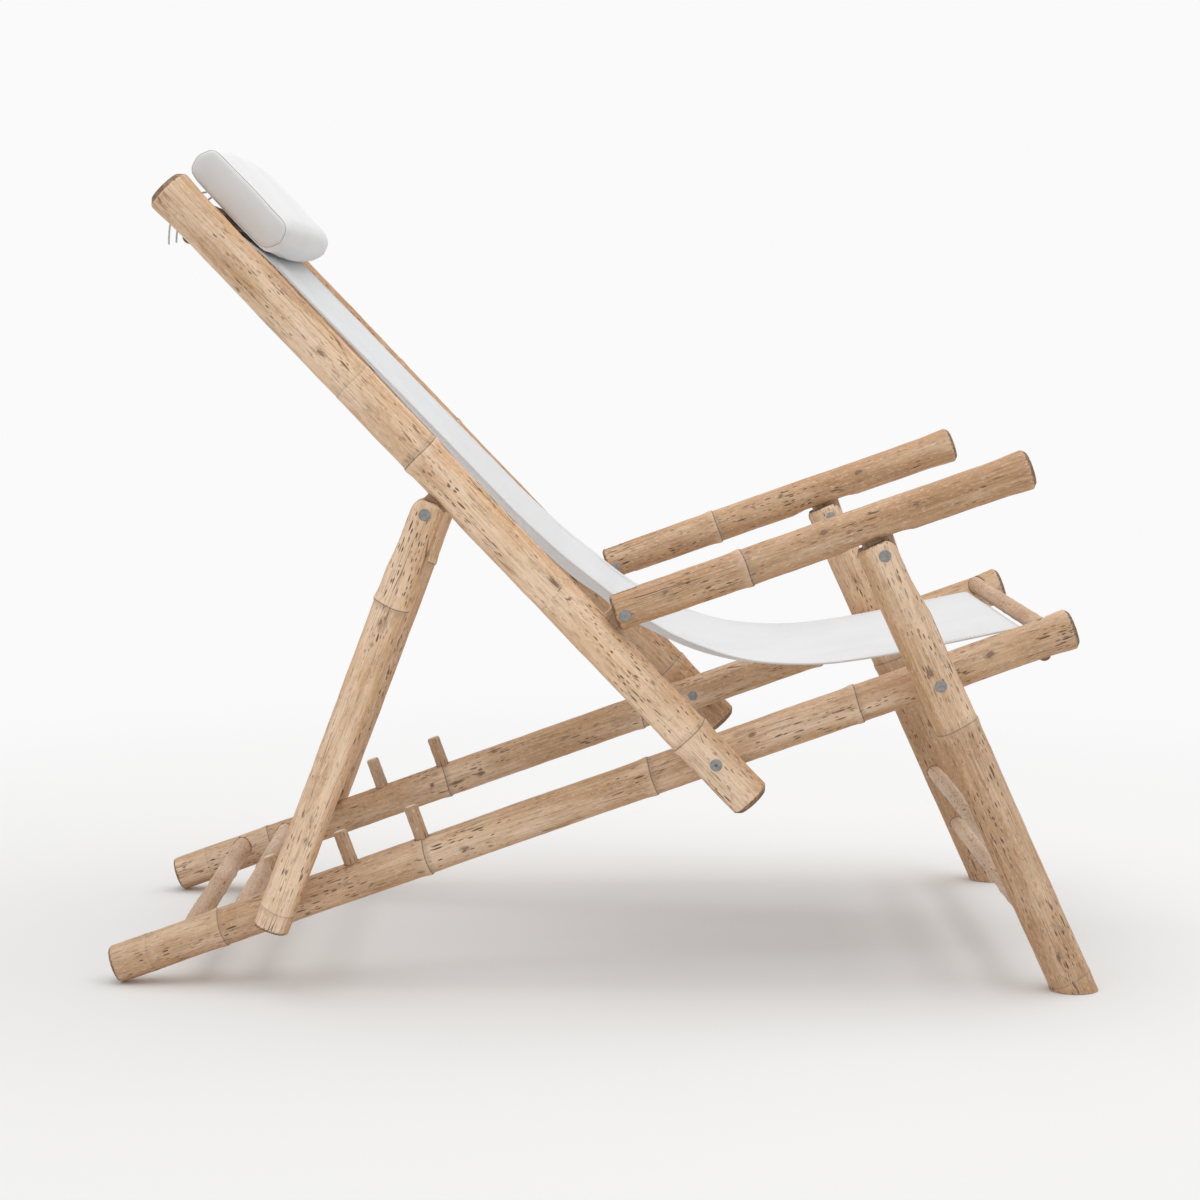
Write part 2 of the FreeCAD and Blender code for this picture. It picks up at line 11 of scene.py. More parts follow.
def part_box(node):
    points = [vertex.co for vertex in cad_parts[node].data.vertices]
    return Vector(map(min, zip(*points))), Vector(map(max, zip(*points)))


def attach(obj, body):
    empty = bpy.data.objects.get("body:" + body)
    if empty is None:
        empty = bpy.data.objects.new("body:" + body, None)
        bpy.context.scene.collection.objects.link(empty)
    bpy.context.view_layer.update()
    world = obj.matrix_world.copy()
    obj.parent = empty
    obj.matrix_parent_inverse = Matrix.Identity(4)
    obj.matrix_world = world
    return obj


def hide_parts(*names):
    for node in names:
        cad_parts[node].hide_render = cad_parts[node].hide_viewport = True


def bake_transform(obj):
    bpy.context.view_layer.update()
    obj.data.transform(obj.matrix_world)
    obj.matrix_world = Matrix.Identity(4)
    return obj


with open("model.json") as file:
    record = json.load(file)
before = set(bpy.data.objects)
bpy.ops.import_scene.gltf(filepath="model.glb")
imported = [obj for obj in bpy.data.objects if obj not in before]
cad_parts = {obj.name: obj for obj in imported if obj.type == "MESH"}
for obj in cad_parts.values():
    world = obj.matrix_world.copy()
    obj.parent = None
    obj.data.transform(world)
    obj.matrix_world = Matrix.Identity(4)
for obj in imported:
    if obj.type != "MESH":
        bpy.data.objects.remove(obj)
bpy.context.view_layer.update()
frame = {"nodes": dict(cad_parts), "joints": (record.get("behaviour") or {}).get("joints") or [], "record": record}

# Studio. A long lens from the sitter's right, a little above seat height, looks down on a pale
# sweep of floor. One wide soft lamp hangs overhead, and the room's white walls fill the rest.
WALL_WHITE = (0.955, 0.955, 0.955, 1)
FLOOR_COLOUR = (0.9, 0.9, 0.895, 1)
FLOOR_HALF = 60


def add_node(tree, kind, inputs=(), **settings):
    """A node with its settings, and its inputs filled with plain values or joined to sockets."""
    node = tree.nodes.new(kind)
    for key, value in settings.items():
        setattr(node, key, value)
    for key, value in dict(inputs).items():
        if isinstance(value, bpy.types.NodeSocket):
            tree.links.new(value, node.inputs[key])
        else:
            node.inputs[key].default_value = value
    return node


def sum_of(tree, how, first, second=0.0):
    """One step of arithmetic on two numbers."""
    return add_node(tree, "ShaderNodeMath", {0: first, 1: second}, operation=how).outputs[0]


def soft_step(tree, value, low, high):
    """Rises smoothly from 0 at low to 1 at high, or falls where high is the lower one."""
    limits = {"Value": value, "From Min": low, "From Max": high}
    return add_node(tree, "ShaderNodeMapRange", limits, interpolation_type="SMOOTHSTEP").outputs[0]


def empty_tree(owner):
    """The node tree of a material or a world, with nothing in it."""
    owner.use_nodes = True
    owner.node_tree.nodes.clear()
    return owner.node_tree


def in_scene(name, data):
    """A new object in the scene that holds the data."""
    thing = bpy.data.objects.new(name, data)
    bpy.context.scene.collection.objects.link(thing)
    return thing


def one_or_other(tree, share, first, second, output):
    """Ends a tree in the first shader where the share is 0 and in the second where it is 1."""
    either = add_node(tree, "ShaderNodeMixShader", {0: share, 1: first.outputs[0], 2: second.outputs[0]})
    add_node(tree, output, {"Surface": either.outputs[0]})


def seen_through_lens(tree):
    """1 for what the lens sees straight on, in metal, or through cloth, and 0 for what lights."""
    rays = add_node(tree, "ShaderNodeLightPath").outputs
    glossy = sum_of(tree, "MAXIMUM", rays["Is Glossy Ray"], rays["Is Transmission Ray"])
    return sum_of(tree, "MAXIMUM", rays["Is Camera Ray"], glossy)


lens = bpy.data.cameras.new("long_lens")
lens.lens = 76.5
lens.sensor_width = 36.0
lens.clip_end = 200.0
eye = in_scene("eye", lens)
eye.location = (-0.0366, -3.2081, 0.7722)
eye.rotation_euler = (math.pi / 2 - 0.1074, 0, -0.0121)
bpy.context.scene.camera = eye
bpy.context.scene.view_settings.view_transform = "Standard"

room = bpy.data.worlds.new("white_room")
bpy.context.scene.world = room
tree = empty_tree(room)
lit = add_node(tree, "ShaderNodeBackground", {"Color": (1, 1, 1, 1), "Strength": 0.65})
seen = add_node(tree, "ShaderNodeBackground", {"Color": WALL_WHITE, "Strength": 1.0})
one_or_other(tree, seen_through_lens(tree), lit, seen, "ShaderNodeOutputWorld")

lamp = bpy.data.lights.new("overhead_lamp", "AREA")
lamp.shape = "RECTANGLE"
lamp.size = 4.0
lamp.size_y = 4.0
lamp.energy = 57.0
in_scene("overhead_lamp", lamp).location = (0.15, 0.15, 3.0)

floor_corners = ((-1, -1), (1, -1), (1, 1), (-1, 1))
ground = bpy.data.meshes.new("floor")
ground.from_pydata([(x * FLOOR_HALF, y * FLOOR_HALF, 0) for x, y in floor_corners], [], [(0, 1, 2, 3)])
sweep = bpy.data.materials.new("pale_floor")
tree = empty_tree(sweep)
place = add_node(tree, "ShaderNodeTexCoord").outputs["Object"]
reach = add_node(tree, "ShaderNodeVectorMath", {0: place}, operation="LENGTH").outputs["Value"]
fade = sum_of(tree, "MULTIPLY", soft_step(tree, reach, 0.7, 2.2), seen_through_lens(tree))
painted = add_node(tree, "ShaderNodeBsdfDiffuse", {"Color": FLOOR_COLOUR})
bright = add_node(tree, "ShaderNodeEmission", {"Color": WALL_WHITE, "Strength": 1.0})
one_or_other(tree, fade, painted, bright, "ShaderNodeOutputMaterial")
ground.materials.append(sweep)
in_scene("floor", ground)

# Cushion ties. Four thin limp cotton cords, two at each end of the head cushion: each comes out
# from under it, goes over the top bar and hangs straight down behind, with a bare cut end.
hinge = {joint["name"]: Vector(joint["pos_m"]) for joint in frame["joints"]}
tie_thickness = 0.0022
tie_routes = {"long": (0.232, 0.034, 0.0834, ((0.877, -0.0252), (0.889, -0.009), (0.889, 0.025))),
              "short": (0.220, 0.023, 0.0718, ((0.8705, -0.0249), (0.874, 0.0005), (0.878, 0.026)))}


def slope(origin, degrees):
    """A pole's axes in the side view: where it starts, the way it runs, and square to that upwards."""
    run = Vector((math.cos(math.radians(degrees)), 0, math.sin(math.radians(degrees))))
    return Vector(origin), run, Vector((-run.z, 0, run.x))


def on(line, along, up=0.0, y=0.0):
    """A place given along a pole, above its axis and across the chair."""
    origin, run, rise = line
    return origin + run * along + rise * up + Vector((0, y, 0))


def new_piece(name, data, material):
    """Puts a finished mesh or curve in the scene with its material."""
    piece = in_scene(name, data)
    data.materials.clear()
    data.materials.append(material)
    return piece


def vector_of(tree, how, first, second):
    """One step of arithmetic on two places."""
    return add_node(tree, "ShaderNodeVectorMath", {0: first, 1: second}, operation=how).outputs[0]


def noise_over(tree, place, scale=1.0, detail=2.0, rough=0.5, read="Fac"):
    """Soft noise over a place."""
    pattern = {"Vector": place, "Scale": scale, "Detail": detail, "Roughness": rough}
    return add_node(tree, "ShaderNodeTexNoise", pattern).outputs[read]


def blended(tree, share, first, second):
    """A colour that goes from the first to the second as the share goes from 0 to 1."""
    return add_node(tree, "ShaderNodeMix", {0: share, 6: first, 7: second}, data_type="RGBA").outputs[2]


def named_group(name, tree_kind, inputs, results):
    """An empty node group with named inputs and results, and what it is given."""
    group = bpy.data.node_groups.new(name, tree_kind)
    for way, sockets in (("INPUT", inputs), ("OUTPUT", results)):
        for socket, kind in sockets.items():
            group.interface.new_socket(socket, in_out=way, socket_type="NodeSocket" + kind)
    return group, group.nodes.new("NodeGroupInput").outputs


def effect_group(name, inputs):
    """An empty shader group, which puts out a colour, a roughness and a height."""
    results = {"Color": "Color", "Roughness": "Float", "Height": "Float"}
    return named_group(name, "ShaderNodeTree", inputs, results)


def dressed(tree, looks, strength, depth, plain=()):
    """Ends a material in one skin with a colour, a roughness and a height, and plain values beside."""
    colour, rough, height = looks
    bump = add_node(tree, "ShaderNodeBump", {"Height": height, "Strength": strength, "Distance": depth})
    varied = {"Base Color": colour, "Roughness": rough, "Normal": bump.outputs[0]}
    skin = add_node(tree, "ShaderNodeBsdfPrincipled", {**varied, **dict(plain)})
    add_node(tree, "ShaderNodeOutputMaterial", {"Surface": skin.outputs[0]})


def weave_group():
    """Plain weave from a flat place on the cloth in metres, with slubs, cloudy patches, and painted shade in the
    hollows between the threads.
    """
    group, given = effect_group("weave", {"Place": "Vector", "Thread": "Float", "Light": "Color",
                                          "Shade": "Color"})
    place = given["Place"]
    turns = sum_of(group, "DIVIDE", 2 * math.pi, given["Thread"])
    per_metre = add_node(group, "ShaderNodeCombineXYZ", {0: turns, 1: turns, 2: turns}).outputs[0]
    wander = noise_over(group, place, 60.0, 3.0, read="Color")
    moved = vector_of(group, "ADD", place, vector_of(group, "MULTIPLY", wander, (0.0012,) * 3))
    scaled = vector_of(group, "MULTIPLY", moved, per_metre)
    parts = add_node(group, "ShaderNodeSeparateXYZ", {0: scaled}).outputs
    crossing = sum_of(group, "MULTIPLY", sum_of(group, "SINE", parts[0]), sum_of(group, "SINE", parts[1]))
    threads = sum_of(group, "MULTIPLY_ADD", crossing, 0.5)
    threads.node.inputs[2].default_value = 0.5
    slubs = add_node(group, "ShaderNodeMapping", {"Vector": place, "Scale": (35.0, 900.0, 35.0)})
    slub = noise_over(group, slubs.outputs[0])
    cloudy = noise_over(group, place, 9.0, 4.0)
    cloud_share = sum_of(group, "MULTIPLY", soft_step(group, cloudy, 0.35, 0.75), 0.5)
    # Painted shade: the hollows between the threads are darkened towards the shade colour
    painted_thread_shade = sum_of(group, "MULTIPLY", soft_step(group, threads, 0.35, 0.0), 0.35)
    thin = sum_of(group, "MULTIPLY", soft_step(group, slub, 0.58, 0.75), 0.35)
    share = sum_of(group, "ADD", sum_of(group, "ADD", cloud_share, painted_thread_shade), thin)
    rough = sum_of(group, "ADD", sum_of(group, "MULTIPLY", share, 0.1), 0.82)
    height = sum_of(group, "ADD", threads, sum_of(group, "MULTIPLY", slub, 0.6))
    colour = blended(group, share, given["Light"], given["Shade"])
    add_node(group, "NodeGroupOutput", {"Color": colour, "Roughness": rough, "Height": height})
    return group


def woven(name, uv_map, thread, light, shade, depth, sheen):
    """A cloth with the shared weave, laid out by a UV map, or on Object coordinates where it is None."""
    cloth = bpy.data.materials.new(name)
    tree = empty_tree(cloth)
    if uv_map:
        place = add_node(tree, "ShaderNodeUVMap", uv_map=uv_map).outputs[0]
    else:
        place = add_node(tree, "ShaderNodeTexCoord").outputs["Object"]
    given = {"Place": place, "Thread": thread, "Light": light, "Shade": shade}
    group = add_node(tree, "ShaderNodeGroup", given, node_tree=weave)
    dressed(tree, group.outputs[:3], 0.6, depth, {"Sheen Weight": sheen, "Sheen Roughness": 0.5})
    return cloth


weave = weave_group()
tie_cotton = woven("tie_cotton", None, 0.0009, (0.62, 0.61, 0.60, 1), (0.4, 0.39, 0.38, 1), 0.0003, 0.1)
back = slope(hinge["back_fold"], 180 - 46.55)
for side_name, side in (("left", 1), ("right", -1)):
    for label, (offset, hang, length, route) in tie_routes.items():
        points = [on(back, along, up, side * offset) for along, up in route]
        points.append(points[-1] - Vector((0, 0, hang)))
        line = bpy.data.curves.new(f"tie_{label}_{side_name}", "CURVE")
        line.dimensions = "3D"
        spline = line.splines.new("NURBS")
        spline.points.add(len(points) - 1)
        for control, point in zip(spline.points, points):
            control.co = (*point, 1)
        spline.order_u = 3
        spline.use_endpoint_u = True
        line.resolution_u = 12
        line.bevel_depth = tie_thickness / 2
        line.bevel_resolution = 3
        line.use_fill_caps = True
        tie = new_piece(f"cushion_tie_{label}_{side_name}", line, tie_cotton)
        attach(tie, "back_frame")
        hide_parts(f"tie_{side_name}_{label}")

# Bamboo poles. Ten solid stems, sun-bleached and cleaned by hand: each keeps the rings and scars
# of its nodes, and its ends are sawn, bevelled, and slotted or drilled where the chair folds.
base_tilt = 19.5
arm_tilt = 19.3
back_pivot_at = 0.749
base = slope(on(slope(hinge["back_fold"], base_tilt), -back_pivot_at), base_tilt)
leg = slope(hinge["leg_fold"], 180 - 65.5)
arm_hinge = hinge["armrest_left_fold"]
arm = slope(on(slope((arm_hinge.x, 0, arm_hinge.z), arm_tilt), 0, 0.004), arm_tilt)
bar_low, bar_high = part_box("prop_bar")
bar_middle = (bar_low + bar_high) / 2
prop_run = Vector((bar_middle.x, 0, bar_middle.z)) - hinge["prop_fold"]
prop = slope(hinge["prop_fold"], math.degrees(math.atan2(prop_run.z, prop_run.x)))
inner_y = 0.25
outer_y = arm_hinge.y
foot_at = -leg[0].z / leg[1].z
pole_grain = 0.002
flare_run = 0.04
flare_swell = 0.0018
no_flare = 9
ring_swell = 0.0018
ring_groove = 0.0004
scar_rise = 0.0011
skin_ripple = 0.0006
bolt_seat = 0.0098
# Axis, radius, place across the chair, how bleached each joint of the cane is (1 pale, -1 brown), node
# rings as (along, strength), the flared end, and scars as (along, degrees round, size)
stems = {
    "base_rail": (base, 0.0227, inner_y, (-0.1, -0.15, -0.55, -0.15, -0.15, -0.1),
                  ((0.047, 0.2), (0.137, 0.6), (0.393, 0.9), (0.674, 0.8), (0.930, 0.9)), 1.193,
                  ((1.092, -75, 0.007), (0.80, -65, 0.004), (0.44, -100, 0.005))),
    "back_rail": (back, 0.0251, outer_y, (0.7, 1.0, 0.95, 0.85, 0.8, 0.55),
                  ((0.044, 0.8), (0.268, 0.1), (0.491, 0.9), (0.603, 0.3), (0.702, 0.05)), 0.8995,
                  ((0.652, -88, 0.007), (0.765, -40, 0.004), (0.12, -120, 0.004))),
    "armrest": (arm, 0.0221, outer_y, (-0.7, -1.0, -1.1), ((0.149, 1.0), (0.342, 0.05)), 0.489,
                ((0.052, -75, 0.006), (0.355, -70, 0.006), (0.245, -60, 0.004))),
    "front_leg": (leg, 0.0258, outer_y, (-0.9, -0.75, 0.35), ((foot_at + 0.016, 0.35), (-0.054, 0.6)),
                  None, ((0.020, -78, 0.005), (foot_at + 0.05, -85, 0.006))),
    "prop_leg": (prop, 0.0211, outer_y, (1.0, 0.85, 0.75, 0.6),
                 ((0.112, 0.9), (0.330, 0.05), (prop_run.length + 0.036, 0.4)), None,
                 ((0.134, -95, 0.006), (0.40, -80, 0.004))),
}
# Where a slotted end turns against another pole it is pared flat: the pivot's place along and up,
# the side, the way the pole runs from it, how far the flat is from the pivot, and how far the crown
# of the end stretches out
pared = {"front_leg": (0.1635, -0.002, -1, -1, 0.0172, 1.08), "prop_leg": (0.0, 0.0, -1, 1, 0.0176, 0.0)}
bodies = {"base_rail": "base", "back_rail": "back_frame", "armrest": "armrest_{}", "front_leg": "front_legs",
          "prop_leg": "prop_frame"}


def weathering_group():
    """Bleached bamboo from a place along (x) and across (y, z) a stem: its colour, roughness and height."""
    inputs = {"Place": "Vector"}
    values = ("Ring", "Ringed", "Cut", "Scar", "Tone", "Painted_shade", "Wear", "Flecking")
    inputs.update(dict.fromkeys(values, "Float"))
    inputs.update(dict.fromkeys(("Pale", "Tan", "Fleck", "End"), "Color"))
    group, given = effect_group("weathering", inputs)
    pale, tan, fleck, tone, ring = (given[name] for name in ("Pale", "Tan", "Fleck", "Tone", "Ring"))

    def stretched(along, across):
        return vector_of(group, "MULTIPLY", given["Place"], (along, across, across))

    def noise(along, across, detail=3.0, rough=0.5):
        return noise_over(group, stretched(along, across), 1.0, detail, rough)

    def mixed(share, first, second):
        return blended(group, share, first, second)

    def step(value, low, high):
        return soft_step(group, value, low, high)

    def plus(first, second):
        return sum_of(group, "ADD", first, second)

    def both(first, second):
        return sum_of(group, "MULTIPLY", first, second)

    def laid(colour, *layers):
        for mask, share, tint in layers:
            colour = mixed(both(mask, share), colour, tint)
        return colour

    def flecks(along, across, inner, outer, rarity):
        bent = noise_over(group, stretched(along / 3, across / 3), read="Color")
        bent = vector_of(group, "MULTIPLY", bent, (1.6, 1.1, 1.1))
        spots = vector_of(group, "ADD", stretched(along, across), bent)
        cells = add_node(group, "ShaderNodeTexVoronoi", {"Vector": spots, "Scale": 1.0})
        chance = add_node(group, "ShaderNodeSeparateColor", {0: cells.outputs["Color"]}).outputs
        shape = step(cells.outputs["Distance"], outer, inner)
        kept = both(shape, step(chance[0], rarity, rarity + 0.08))
        return both(kept, plus(both(chance[1], 0.6), 0.4))

    # Broad drifts from pale to tan along the stem, painted warm brown shade on the undersides with a fainter
    # painted band along the tops, and brown where the tone is low
    drift = plus(noise(6.5, 30, 4, 0.6), both(tone, -0.10))
    colour = mixed(step(drift, 0.36, 0.66), pale, tan)
    painted_underside_shade = both(both(given["Painted_shade"], 0.85), step(noise(4, 25, 3, 0.5), 0.22, 0.5))
    colour = mixed(painted_underside_shade, colour, (0.50, 0.27, 0.115, 1))
    ochre = step(noise(9, 22, 3, 0.55), 0.52, 0.68)
    colour = laid(colour, (ochre, 0.4, (0.63, 0.37, 0.175, 1)))
    # Low tone lays brown on the cane: the poles' own brown skin, and painted shade on the far back rail
    brown = both(sum_of(group, "MAXIMUM", both(tone, -1.0), 0.0), 0.75)
    brown = both(brown, step(noise(8, 45, 3, 0.6), 0.25, 0.7))
    colour = mixed(brown, colour, (0.46, 0.235, 0.10, 1))
    # Fine fibres and streaks, then stains and mottling where the skin has weathered through
    fibres = noise(16, 760, 3, 0.6)
    streaks = noise(5, 210, 3, 0.55)
    stain = step(noise(17, 75, 5, 0.65), 0.55, 0.70)
    mottle = step(noise(70, 260, 4, 0.7), 0.57, 0.68)
    bloom = step(noise(150, 420, 3, 0.7), 0.55, 0.66)
    colour = laid(colour, (step(fibres, 0.48, 0.72), 0.42, fleck), (step(streaks, 0.53, 0.70), 0.42, tan),
                  (step(streaks, 0.46, 0.30), 0.35, pale), (stain, 0.42, (0.36, 0.235, 0.14, 1)),
                  (mottle, 0.4, fleck), (bloom, 0.38, (0.86, 0.74, 0.62, 1)))
    # Dark flecks along the grain, thicker in some places, and long thin cracks
    crowd = step(noise(9, 36, 3, 0.5), 0.42, 0.62)
    small = both(flecks(95, 390, 0.22, 0.42, 0.62), plus(both(crowd, 0.85), 0.15))
    long_ones = both(flecks(40, 240, 0.18, 0.36, 0.68), plus(both(crowd, 0.75), 0.25))
    dark = both(sum_of(group, "MAXIMUM", small, long_ones), given["Flecking"])
    splits = add_node(group, "ShaderNodeTexVoronoi", {"Vector": stretched(4.5, 95), "Scale": 1.0},
                      feature="DISTANCE_TO_EDGE").outputs["Distance"]
    crack = both(step(splits, 0.022, 0.004), step(noise(11, 30, 2, 0.5), 0.56, 0.66))
    crack = both(crack, given["Flecking"])
    colour = mixed(sum_of(group, "MINIMUM", both(dark, 1.5), 0.95), colour, fleck)
    # Node rings: a thin dark line, grey dirt after it, and a warm worn swelling before it
    line = both(step(sum_of(group, "ABSOLUTE", ring), 0.0011, 0.0003), given["Ringed"])
    after = both(both(step(ring, 0.0, 0.0012), step(ring, 0.009, 0.002)), given["Ringed"])
    before = both(both(step(ring, 0.0, -0.001), step(ring, -0.013, -0.002)), given["Ringed"])
    # Branch scars with torn edges
    torn = sum_of(group, "SUBTRACT", noise(70, 210, 4, 0.7), 0.5)
    ragged = both(plus(given["Scar"], both(torn, 2.2)), step(given["Scar"], 0.08, 0.3))
    halo = step(ragged, 0.30, 0.6)
    scar = step(ragged, 0.72, 0.92)
    colour = laid(colour, (crack, 0.85, fleck), (before, 0.35, pale), (after, 0.45, (0.37, 0.27, 0.19, 1)),
                  (line, 0.85, fleck), (halo, 0.4, (0.36, 0.25, 0.17, 1)), (scar, 0.65, fleck),
                  (given["Wear"], 0.45, pale))
    # Lighter where it has bleached, and pored end grain on every sawn face
    bright = plus(both(sum_of(group, "MAXIMUM", tone, 0.0), 0.19), 1.0)
    lightened = add_node(group, "ShaderNodeVectorMath", {0: colour, "Scale": bright}, operation="SCALE")
    pores = add_node(group, "ShaderNodeTexVoronoi", {"Vector": stretched(60, 850), "Scale": 1.0})
    sawn = mixed(both(step(pores.outputs["Distance"], 0.35, 0.1), 0.6), given["End"], fleck)
    sawn = mixed(both(step(noise(90, 160, 3, 0.6), 0.45, 0.65), 0.35), sawn, tan)
    colour = mixed(given["Cut"], lightened.outputs[0], sawn)
    rough = plus(plus(both(stain, 0.12), 0.56), both(given["Cut"], 0.2))
    height = plus(both(fibres, 0.35), both(noise(28, 110, 3, 0.55), 0.9))
    for mark, depth in ((crack, 0.9), (dark, 0.45), (line, 0.8), (scar, 0.5), (mottle, 0.2)):
        height = sum_of(group, "SUBTRACT", height, both(mark, depth))
    add_node(group, "NodeGroupOutput", {"Color": colour, "Roughness": rough, "Height": height})
    return group


def cane(name, pale, tan, fleck, end, flecking):
    """A bamboo finish with its own colours from the shared weathering."""
    finish = bpy.data.materials.new(name)
    tree = empty_tree(finish)
    given = {"Pale": pale, "Tan": tan, "Fleck": fleck, "End": end, "Flecking": flecking}
    given["Place"] = add_node(tree, "ShaderNodeAttribute", attribute_name="cane").outputs["Vector"]
    for layer in ("ring", "ringed", "cut", "scar", "tone", "painted_shade", "wear"):
        read = add_node(tree, "ShaderNodeAttribute", attribute_name=layer)
        given[layer.capitalize()] = read.outputs["Fac"]
    group = add_node(tree, "ShaderNodeGroup", given, node_tree=weathering)
    dressed(tree, group.outputs[:3], 0.8, 0.0006)
    return finish


def read_points(mesh):
    """Every point of a mesh, one to a row."""
    flat = np.empty(len(mesh.vertices) * 3)
    mesh.vertices.foreach_get("co", flat)
    return flat.reshape(-1, 3)


def move_points(mesh, points):
    """Gives every point of a mesh a new place."""
    mesh.vertices.foreach_set("co", points.astype(np.float32).ravel())
    mesh.update()


def smooth_faces(mesh):
    """Shades every face smooth."""
    mesh.polygons.foreach_set("use_smooth", np.ones(len(mesh.polygons), bool))


def surface_of(mesh):
    """A mesh's surface, ready to be asked for the place nearest to a point."""
    return BVHTree.FromPolygons([v.co for v in mesh.vertices], [p.vertices for p in mesh.polygons])


def note(mesh, layer, values):
    """Writes one number, or three, per point for the material to read."""
    three = values.ndim == 2
    made = mesh.attributes.new(layer, "FLOAT_VECTOR" if three else "FLOAT", "POINT")
    made.data.foreach_set("vector" if three else "value", values.astype(np.float32).ravel())


def settled(thing):
    """The plain mesh of an object once its modifiers are worked out."""
    view = bpy.context.evaluated_depsgraph_get()
    view.update()
    return bpy.data.meshes.new_from_object(thing.evaluated_get(view))


def evenly_meshed(node, grain):
    """A merged copy of a CAD node, and the same shape again in small even faces."""
    source = frame["nodes"][node].data.copy()
    shape = bmesh.new()
    shape.from_mesh(source)
    bmesh.ops.remove_doubles(shape, verts=shape.verts, dist=1e-5)
    shape.to_mesh(source)
    shape.free()
    blank = in_scene("blank", source)
    remesh = blank.modifiers.new("even", "REMESH")
    remesh.mode = "VOXEL"
    remesh.voxel_size = grain
    mesh = settled(blank)
    bpy.data.objects.remove(blank)
    return source, mesh


def edge_wear(mesh, points):
    """1 where an edge stands proud and rubs, from how far each point is outside its neighbours."""
    ends = np.empty(len(mesh.edges) * 2, int)
    mesh.edges.foreach_get("vertices", ends)
    ends = ends.reshape(-1, 2)
    total = np.zeros_like(points)
    count = np.zeros(len(points))
    for here, there in ((ends[:, 0], ends[:, 1]), (ends[:, 1], ends[:, 0])):
        np.add.at(total, here, points[there])
        np.add.at(count, here, 1)
    normals = np.empty(len(points) * 3)
    mesh.vertex_normals.foreach_get("vector", normals)
    proud = ((points - total / count[:, None]) * normals.reshape(-1, 3)).sum(1)
    return np.clip((proud - 0.00012) / 0.0003, 0, 1)


def smooth_step(value, low, high):
    """Rises smoothly from 0 at low to 1 at high."""
    share = np.clip((value - low) / (high - low), 0, 1)
    return share * share * (3 - 2 * share)


def ripples(chance, along, turn, size):
    """Slow uneven swelling of a grown stem: a few waves along and round it, seeded per stem."""
    total = np.zeros_like(along)
    waves = ((0.31, 1, 0.35), (0.17, 2, 0.3), (0.083, 1, 0.22), (0.047, 3, 0.16), (0.021, 2, 0.1))
    for length, lobes, share in waves:
        start, lean = chance.uniform(0, 2 * math.pi, 2)
        total += share * np.sin(2 * math.pi * along / length + start) * np.cos(lobes * turn + lean)
    return size * total


bolt_nodes = [name for name in frame["nodes"] if "_bolt_" in name]
bolt_places = np.array([sum(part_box(name), Vector()) / 2 for name in bolt_nodes])[:, [0, 2]]


